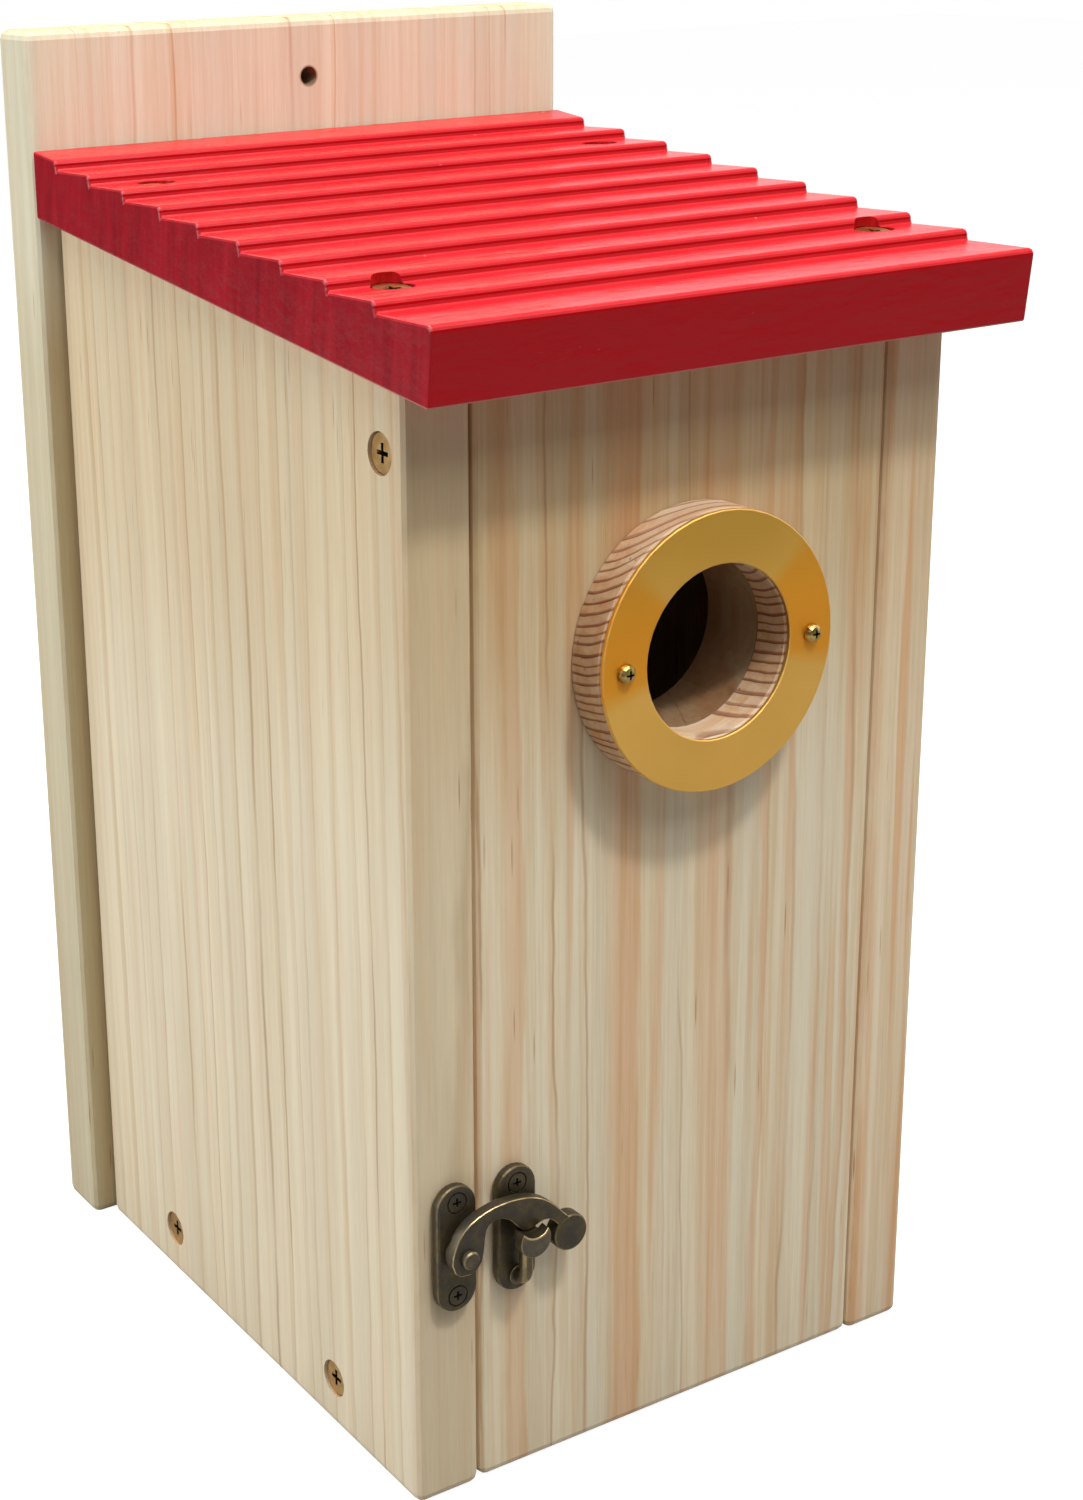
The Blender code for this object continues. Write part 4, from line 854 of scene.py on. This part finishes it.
# %% Helpers for discs, bores and joins
def disc(name, middle, radius, front, back, round_width):
    """A round plate that faces the front, from a filled circle extruded from front to back."""
    shape = start_shape(name, bpy.ops.mesh.primitive_circle_add, vertices=56, radius=radius, fill_type="NGON",
                        location=(middle.x, front, middle.z), rotation=(math.pi / 2, 0.0, 0.0))
    bpy.ops.mesh.select_all(action="SELECT")
    bpy.ops.mesh.extrude_region_move(TRANSFORM_OT_translate={"value": (0.0, back - front, 0.0)})
    close_shape(shape, round_width)
    return shape


def drill_through(shape, middle, radius):
    """Bore a round hole along Y: a cylinder stands in for the drill and is taken away after the cut."""
    deselect_all()
    bpy.ops.mesh.primitive_cylinder_add(vertices=32, radius=radius, depth=20 * MM, location=middle,
                                        rotation=(math.pi / 2, 0.0, 0.0))
    drill = bpy.context.object
    deselect_all()
    shape.select_set(True)
    bpy.context.view_layer.objects.active = shape
    bore = shape.modifiers.new("bore", "BOOLEAN")
    bore.object, bore.operation, bore.solver = drill, "DIFFERENCE", "EXACT"
    bpy.ops.object.modifier_apply(modifier=bore.name)
    bpy.data.objects.remove(drill)


def join_to(first_piece, *others):
    deselect_all()
    for piece in (first_piece, *others):
        piece.select_set(True)
    bpy.context.view_layer.objects.active = first_piece
    bpy.ops.object.join()


# %% Add the boss and the knob, and bore the pivot
PIVOT_RADIUS = 1.3 * MM
BOSS_RADIUS = 3.3 * MM
KNOB_RADIUS = 4.0 * MM
base_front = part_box("latch_base_plate")[0].y
boss_disc = disc("arm_boss", boss, BOSS_RADIUS, front=ARM_FRONT + 1.2 * MM, back=base_front - 0.3 * MM,
                 round_width=0.3 * MM)
knob_disc = disc("arm_knob", knob, KNOB_RADIUS, front=arm_low.y + 0.55 * MM, back=arm_low.y + 4.2 * MM,
                 round_width=0.7 * MM)
drill_through(arm, boss, PIVOT_RADIUS)
drill_through(boss_disc, boss, PIVOT_RADIUS)
join_to(arm, boss_disc, knob_disc)
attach(arm, "latch_arm")
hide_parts("latch_arm")
arm.data.materials.clear()
arm.data.materials.append(bronze_arm)
print("swing arm:", len(arm.data.polygons), "faces")

# %% [markdown]
# ## The catch, shaped by hand
#
# The catch is a round post set in a small collar. It comes straight out of its plate, bends upwards and ends in a
# thick head, which is scooped so that the arm's dip rests in it. A circle is extruded out of the plate, spun through
# a right angle and extruded upwards. The head is a disc, and the scoop is a round bite out of its top.

# %% Bend the post
POST_RADIUS = 1.4 * MM
BEND_RADIUS = 2.6 * MM
POST_TOP = 57.6 * MM
POST_FOOT = Vector((saddle.x, base_front, 47.5 * MM))
bend_start = base_front - 0.4 * MM
post = start_shape("catch_bent_post", bpy.ops.mesh.primitive_circle_add, vertices=32, radius=POST_RADIUS,
                   fill_type="NGON", location=POST_FOOT + Vector((0.0, 0.2 * MM, 0.0)),
                   rotation=(math.pi / 2, 0.0, 0.0))
bpy.ops.mesh.select_all(action="SELECT")
bpy.ops.mesh.extrude_region_move(TRANSFORM_OT_translate={"value": (0.0, -0.6 * MM, 0.0)})
bpy.ops.mesh.spin(steps=12, angle=math.pi / 2, axis=(1.0, 0.0, 0.0),
                  center=(saddle.x, bend_start, POST_FOOT.z + BEND_RADIUS))
straight = POST_TOP - POST_FOOT.z - BEND_RADIUS
bpy.ops.mesh.extrude_region_move(TRANSFORM_OT_translate={"value": (0.0, 0.0, straight)})
close_shape(post, 0.2 * MM)
print("bent post:", len(post.data.polygons), "faces")

# %% Shape the collar, the neck and the head
COLLAR_RADIUS, NECK_RADIUS, HEAD_RADIUS = 2.1 * MM, 2.3 * MM, 3.6 * MM
head_middle = Vector((saddle.x, 0.0, post_high.z - 2.25 * MM))
head_front = post_low.y + 0.45 * MM
collar = disc("catch_collar", POST_FOOT, COLLAR_RADIUS, front=base_front - 0.5 * MM, back=base_front + 0.05 * MM,
              round_width=0.25 * MM)
neck = disc("catch_neck", head_middle, NECK_RADIUS, front=post_low.y + 2.4 * MM,
            back=bend_start - BEND_RADIUS + POST_RADIUS, round_width=0.0)
head = disc("catch_head", head_middle, HEAD_RADIUS, front=head_front, back=post_low.y + 2.7 * MM, round_width=0.0)
bpy.ops.object.mode_set(mode="EDIT")
select_near(head, [head_middle + Vector((0.0, head_front, 0.0))], HEAD_RADIUS + 0.1 * MM)
bpy.ops.mesh.inset(thickness=1.3 * MM, depth=0.35 * MM)
bpy.ops.object.mode_set(mode="OBJECT")
print("head, domed:", len(head.data.polygons), "faces")

# %% Scoop the head and put the catch together
scoop_middle = Vector((saddle.x, post_low.y, saddle.z))
for piece, round_width in ((neck, 0.2 * MM), (head, 0.3 * MM)):
    drill_through(piece, scoop_middle, SADDLE_RADIUS)
    round_edges(piece, round_width)
join_to(post, collar, neck, head)
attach(post, "door")
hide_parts("catch_post")
post.data.materials.clear()
post.data.materials.append(bronze_catch)
print("catch:", len(post.data.polygons), "faces")

# %% [markdown]
# ## Floor
#
# The floor is a wide sheet of pale paper. A black card would keep a white floor from lighting the box from below in
# a real studio. Here the Light Path node does that: only the camera sees how pale the paper really is.

# %% Lay the paper
PAPER_SIZE = 8.0
deselect_all()
bpy.ops.mesh.primitive_plane_add(size=PAPER_SIZE, location=(0.0, 0.0, -0.2 * MM))
paper = bpy.context.object
paper.name = "paper_floor"
bpy.ops.object.transform_apply(location=True, rotation=True, scale=True)
material, tree, surface = new_material("pale_paper")
seen = add_node(tree, "ShaderNodeLightPath")["Is Camera Ray"]
mottle = noise(tree, add_node(tree, "ShaderNodeTexCoord")["Object"], (30.0, 30.0, 30.0), 1.0)
feed(tree, surface.inputs["Base Color"], blend(tree, mottle, (0.29, 0.29, 0.29, 1.0), (0.31, 0.31, 0.31, 1.0)))
surface.inputs["Roughness"].default_value = 0.9
surface.inputs["Specular IOR Level"].default_value = 0.1
surface.inputs["Emission Color"].default_value = WHITE
feed(tree, surface.inputs["Emission Strength"], calc(tree, "MULTIPLY", seen, 0.95))
paper.data.materials.append(material)
print("paper in metres:", PAPER_SIZE)

# %% Show the camera a white room
tree = room.node_tree
seen = add_node(tree, "ShaderNodeLightPath")["Is Camera Ray"]
feed(tree, tree.nodes["Background"].inputs["Strength"], calc(tree, "MULTIPLY_ADD", seen, 0.9, 0.1))
print("room nodes:", len(tree.nodes))
